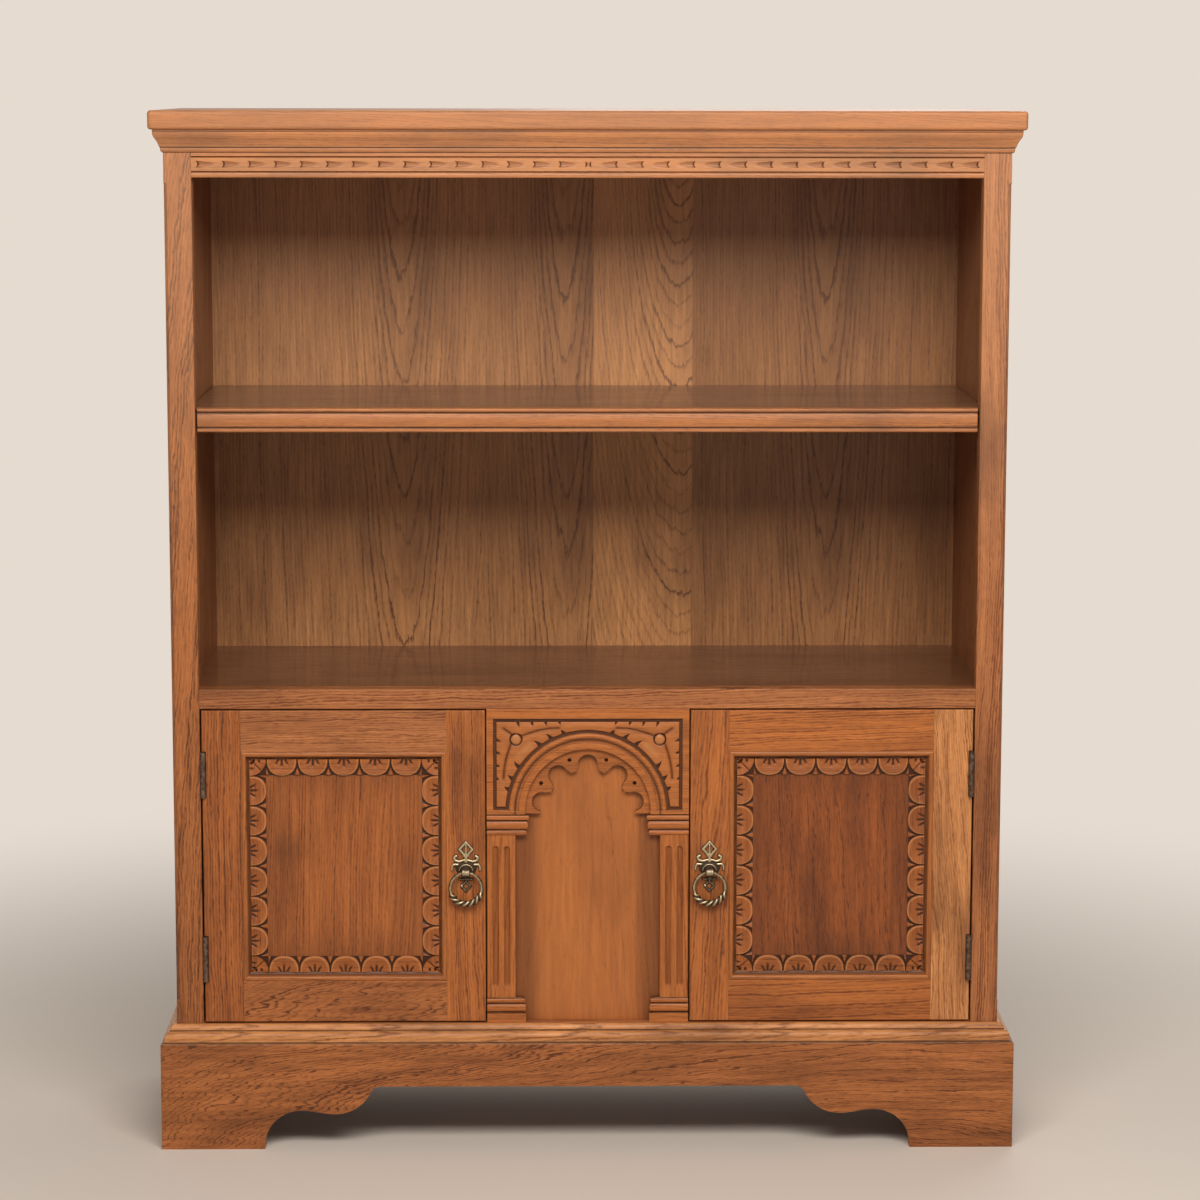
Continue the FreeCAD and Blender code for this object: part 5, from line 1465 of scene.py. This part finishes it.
class BOOKCASE_OT_hardware(bpy.types.Operator):
    """Finish the hinges, catches, strikes and studs, and set the hinge screws"""
    bl_idname = "bookcase.hardware"
    bl_label = "Hinges and catches"

    # Screws as shares of the length of a hinge.
    rows = (0.16, 0.5, 0.84)

    def execute(self, context):
        work = context.scene.hinge_work
        bronze = metal_material("bronze_hinges", "bronze", "bronze_dark", 0.35, 260.0)
        steel = metal_material("plated_steel", "steel", "steel_dark", 0.6, 180.0)
        for node in ("hinge_frame_leaves", "hinge_pins",
                     "left_door_hinge_leaves", "right_door_hinge_leaves"):
            dress(NODES[node], bronze)
        for node in ("shelf_studs", "left_catch_strike", "right_catch_strike"):
            dress(NODES[node], steel)
        dress(NODES["door_catches"], plastic_material("catch_plastic"))
        screws = metal_material("bronze_screws", "bronze", "bronze_dark", 0.6, 500.0)
        low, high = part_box("hinge_frame_leaves")
        frame_face = high.x - work.leaf
        frame_screws = bmesh.new()
        for side, sign in SIDES:
            door_screws = bmesh.new()
            for start in (low.z, high.z - work.length):
                for row in self.rows:
                    place = Vector((sign * frame_face, high.y - work.set_back, start + row * work.length))
                    self.screw(frame_screws, place, -sign, row, work)
                    place.x -= sign * work.gap
                    self.screw(door_screws, place, sign, row, work)
            settle(side + "_hinge_screws", door_screws, side + "_door", screws)
        settle("frame_hinge_screws", frame_screws, "carcass", screws)
        return {"FINISHED"}

    def screw(self, bm, place, outward, row, work):
        """Slotted head standing a little over its leaf, as two halves beside the slot."""
        turn = Matrix.Translation(place) @ Matrix.Rotation(outward * math.pi / 2, 4, "Y")
        turn = turn @ Matrix.Rotation(math.pi * row, 4, "Z")
        for half in (-1, 1):
            made = bmesh.ops.create_circle(bm, cap_ends=True, segments=24, radius=work.head)["verts"]
            faces = {face for vert in made for face in vert.link_faces}
            edges = {edge for vert in made for edge in vert.link_edges}
            kept = bmesh.ops.bisect_plane(bm, geom=[*made, *edges, *faces], clear_outer=True,
                                          plane_co=(0, half * work.slot, 0), plane_no=(0, -half, 0))["geom"]
            flat = [item for item in kept if isinstance(item, bmesh.types.BMFace)]
            low = {vert for face in flat for vert in face.verts}
            raised = bmesh.ops.extrude_face_region(bm, geom=flat, use_keep_orig=True)["geom"]
            top = [item for item in raised if isinstance(item, bmesh.types.BMVert)]
            bmesh.ops.translate(bm, verts=top, vec=(0, 0, work.proud))
            bmesh.ops.transform(bm, matrix=turn, verts=[*low, *top])


class BOOKCASE_OT_stage(bpy.types.Operator):
    """Floor, background, soft lights and camera"""
    bl_idname = "bookcase.stage"
    bl_label = "Stage"

    # Soft lights: place and size in metres.
    lights = {
        "key": ((0.05, -1.85, 1.86), (1.8, 0.8)),
        "fill": ((0.9, -3.6, 1.3), (2.4, 2.0)),
        "rear": ((1.0, 2.6, 1.9), (2.4, 2.0)),
    }
    lamp_colour = (1.0, 0.97, 0.93)
    room_colour = (1.0, 0.98, 0.95, 1.0)
    # The floor fades into the background from one distance to the other.
    fade = (0.55, 1.9)
    floor_half = 12.0

    def execute(self, context):
        look = context.scene.stage_look
        self.floor(look)
        self.background(look)
        for name, (place, size) in self.lights.items():
            self.light(name + "_light", place, size, getattr(look, name + "_power"))
        self.camera(look)
        context.scene.view_settings.view_transform = "Standard"
        return {"FINISHED"}

    def seen(self, wiring):
        """1 for rays that show the background: from the camera, in a reflection or through glass."""
        paths = wiring.tree.nodes.new("ShaderNodeLightPath").outputs
        mirrored = wiring.math("MAXIMUM", paths["Is Glossy Ray"], paths["Is Transmission Ray"])
        return wiring.math("MAXIMUM", paths["Is Camera Ray"], mirrored)

    def floor(self, look):
        """Pale floor that fades into the background away from the cabinet."""
        bm = bmesh.new()
        bmesh.ops.create_grid(bm, x_segments=1, y_segments=1, size=self.floor_half)
        mesh = bpy.data.meshes.new("floor")
        bm.to_mesh(mesh)
        bm.free()
        floor = bpy.data.objects.new("floor", mesh)
        bpy.context.scene.collection.objects.link(floor)
        material, wiring, shader, place = blank_material("pale_floor")
        cloud = wiring.noise(place, (1.5, 1.5, 1.5), 3.0)[0]
        clouded = [0.97 * part for part in look.floor]
        wiring.feed(shader.inputs["Base Color"], wiring.mix(cloud, look.floor, clouded))
        shader.inputs["Roughness"].default_value = 0.7
        glow = wiring.add("Emission", Color=(*look.wall, 1.0), Strength=1.0)
        far = wiring.step(wiring.vector("LENGTH", place), *self.fade)
        both = wiring.tree.nodes.new("ShaderNodeMixShader")
        wiring.feed(both.inputs[0], wiring.math("MULTIPLY", far, self.seen(wiring)))
        wiring.feed(both.inputs[1], shader.outputs[0])
        wiring.feed(both.inputs[2], glow.outputs[0])
        wiring.feed(wiring.tree.nodes["Material Output"].inputs["Surface"], both.outputs[0])
        dress(floor, material)

    def background(self, look):
        """Pale background, and an even room light that only reaches what it falls on."""
        world = bpy.data.worlds.new("room")
        world.use_nodes = True
        wiring = Wiring(world.node_tree)
        shown = world.node_tree.nodes["Background"]
        shown.inputs["Color"].default_value = (*look.wall, 1.0)
        room = wiring.add("Background", Color=self.room_colour, Strength=look.sky)
        both = world.node_tree.nodes.new("ShaderNodeMixShader")
        wiring.feed(both.inputs[0], self.seen(wiring))
        wiring.feed(both.inputs[1], room.outputs[0])
        wiring.feed(both.inputs[2], shown.outputs[0])
        wiring.feed(world.node_tree.nodes["World Output"].inputs[0], both.outputs[0])
        bpy.context.scene.world = world

    def light(self, name, place, size, power):
        lamp = bpy.data.lights.new(name, "AREA")
        lamp.shape = "RECTANGLE"
        lamp.size, lamp.size_y = size
        lamp.energy = power
        lamp.color = self.lamp_colour
        rig = bpy.data.objects.new(name, lamp)
        bpy.context.scene.collection.objects.link(rig)
        rig.visible_camera = False
        rig.location = place
        aim = (CAD_LOW + CAD_HIGH) / 2 - Vector(place)
        rig.rotation_euler = aim.to_track_quat("-Z", "Y").to_euler()

    def camera(self, look):
        data = bpy.data.cameras.new("camera")
        data.sensor_width = 36.0
        data.lens = look.lens
        data.clip_end = 60.0
        turn = Matrix.Rotation(-look.camera_yaw, 3, "Z")
        tilt = Matrix.Rotation(math.pi / 2 - look.camera_pitch, 3, "X")
        roll = Matrix.Rotation(look.camera_roll, 3, "Z")
        camera = bpy.data.objects.new("camera", data)
        bpy.context.scene.collection.objects.link(camera)
        camera.matrix_world = Matrix.Translation(look.camera_place) @ (turn @ tilt @ roll).to_4x4()
        bpy.context.scene.camera = camera


class BOOKCASE_PT_panel(bpy.types.Panel):
    """Steps of the finish, in order"""
    bl_idname = "BOOKCASE_PT_panel"
    bl_label = "Bookcase"
    bl_space_type = "VIEW_3D"
    bl_region_type = "UI"
    bl_category = "Bookcase"

    def draw(self, context):
        for step in STEPS:
            self.layout.operator(step.bl_idname)
        for name in SETTINGS:
            box = self.layout.box()
            group = getattr(context.scene, name)
            for setting in group.bl_rna.properties:
                if setting.identifier not in ("name", "rna_type"):
                    box.prop(group, setting.identifier)


SETTINGS = {
    "oak_finish": OakFinish,
    "metal_finish": MetalFinish,
    "frieze_cut": FriezeCut,
    "border_cut": BorderCut,
    "leaf_cut": LeafCut,
    "pull_work": PullWork,
    "hinge_work": HingeWork,
    "stage_look": StageLook,
}
STEPS = (
    BOOKCASE_OT_boards,
    BOOKCASE_OT_frieze,
    BOOKCASE_OT_borders,
    BOOKCASE_OT_spandrels,
    BOOKCASE_OT_pull_plates,
    BOOKCASE_OT_pull_posts,
    BOOKCASE_OT_rings,
    BOOKCASE_OT_hardware,
    BOOKCASE_OT_stage,
)
CLASSES = (*SETTINGS.values(), *STEPS, BOOKCASE_PT_panel)


def register():
    for kind in CLASSES:
        bpy.utils.register_class(kind)
    for name, kind in SETTINGS.items():
        setattr(bpy.types.Scene, name, bpy.props.PointerProperty(type=kind))


def unregister():
    for name in SETTINGS:
        delattr(bpy.types.Scene, name)
    for kind in reversed(CLASSES):
        bpy.utils.unregister_class(kind)


def main():
    register()
    for step in STEPS:
        family, name = step.bl_idname.split(".")
        getattr(getattr(bpy.ops, family), name)()


if __name__ == "__main__":
    main()
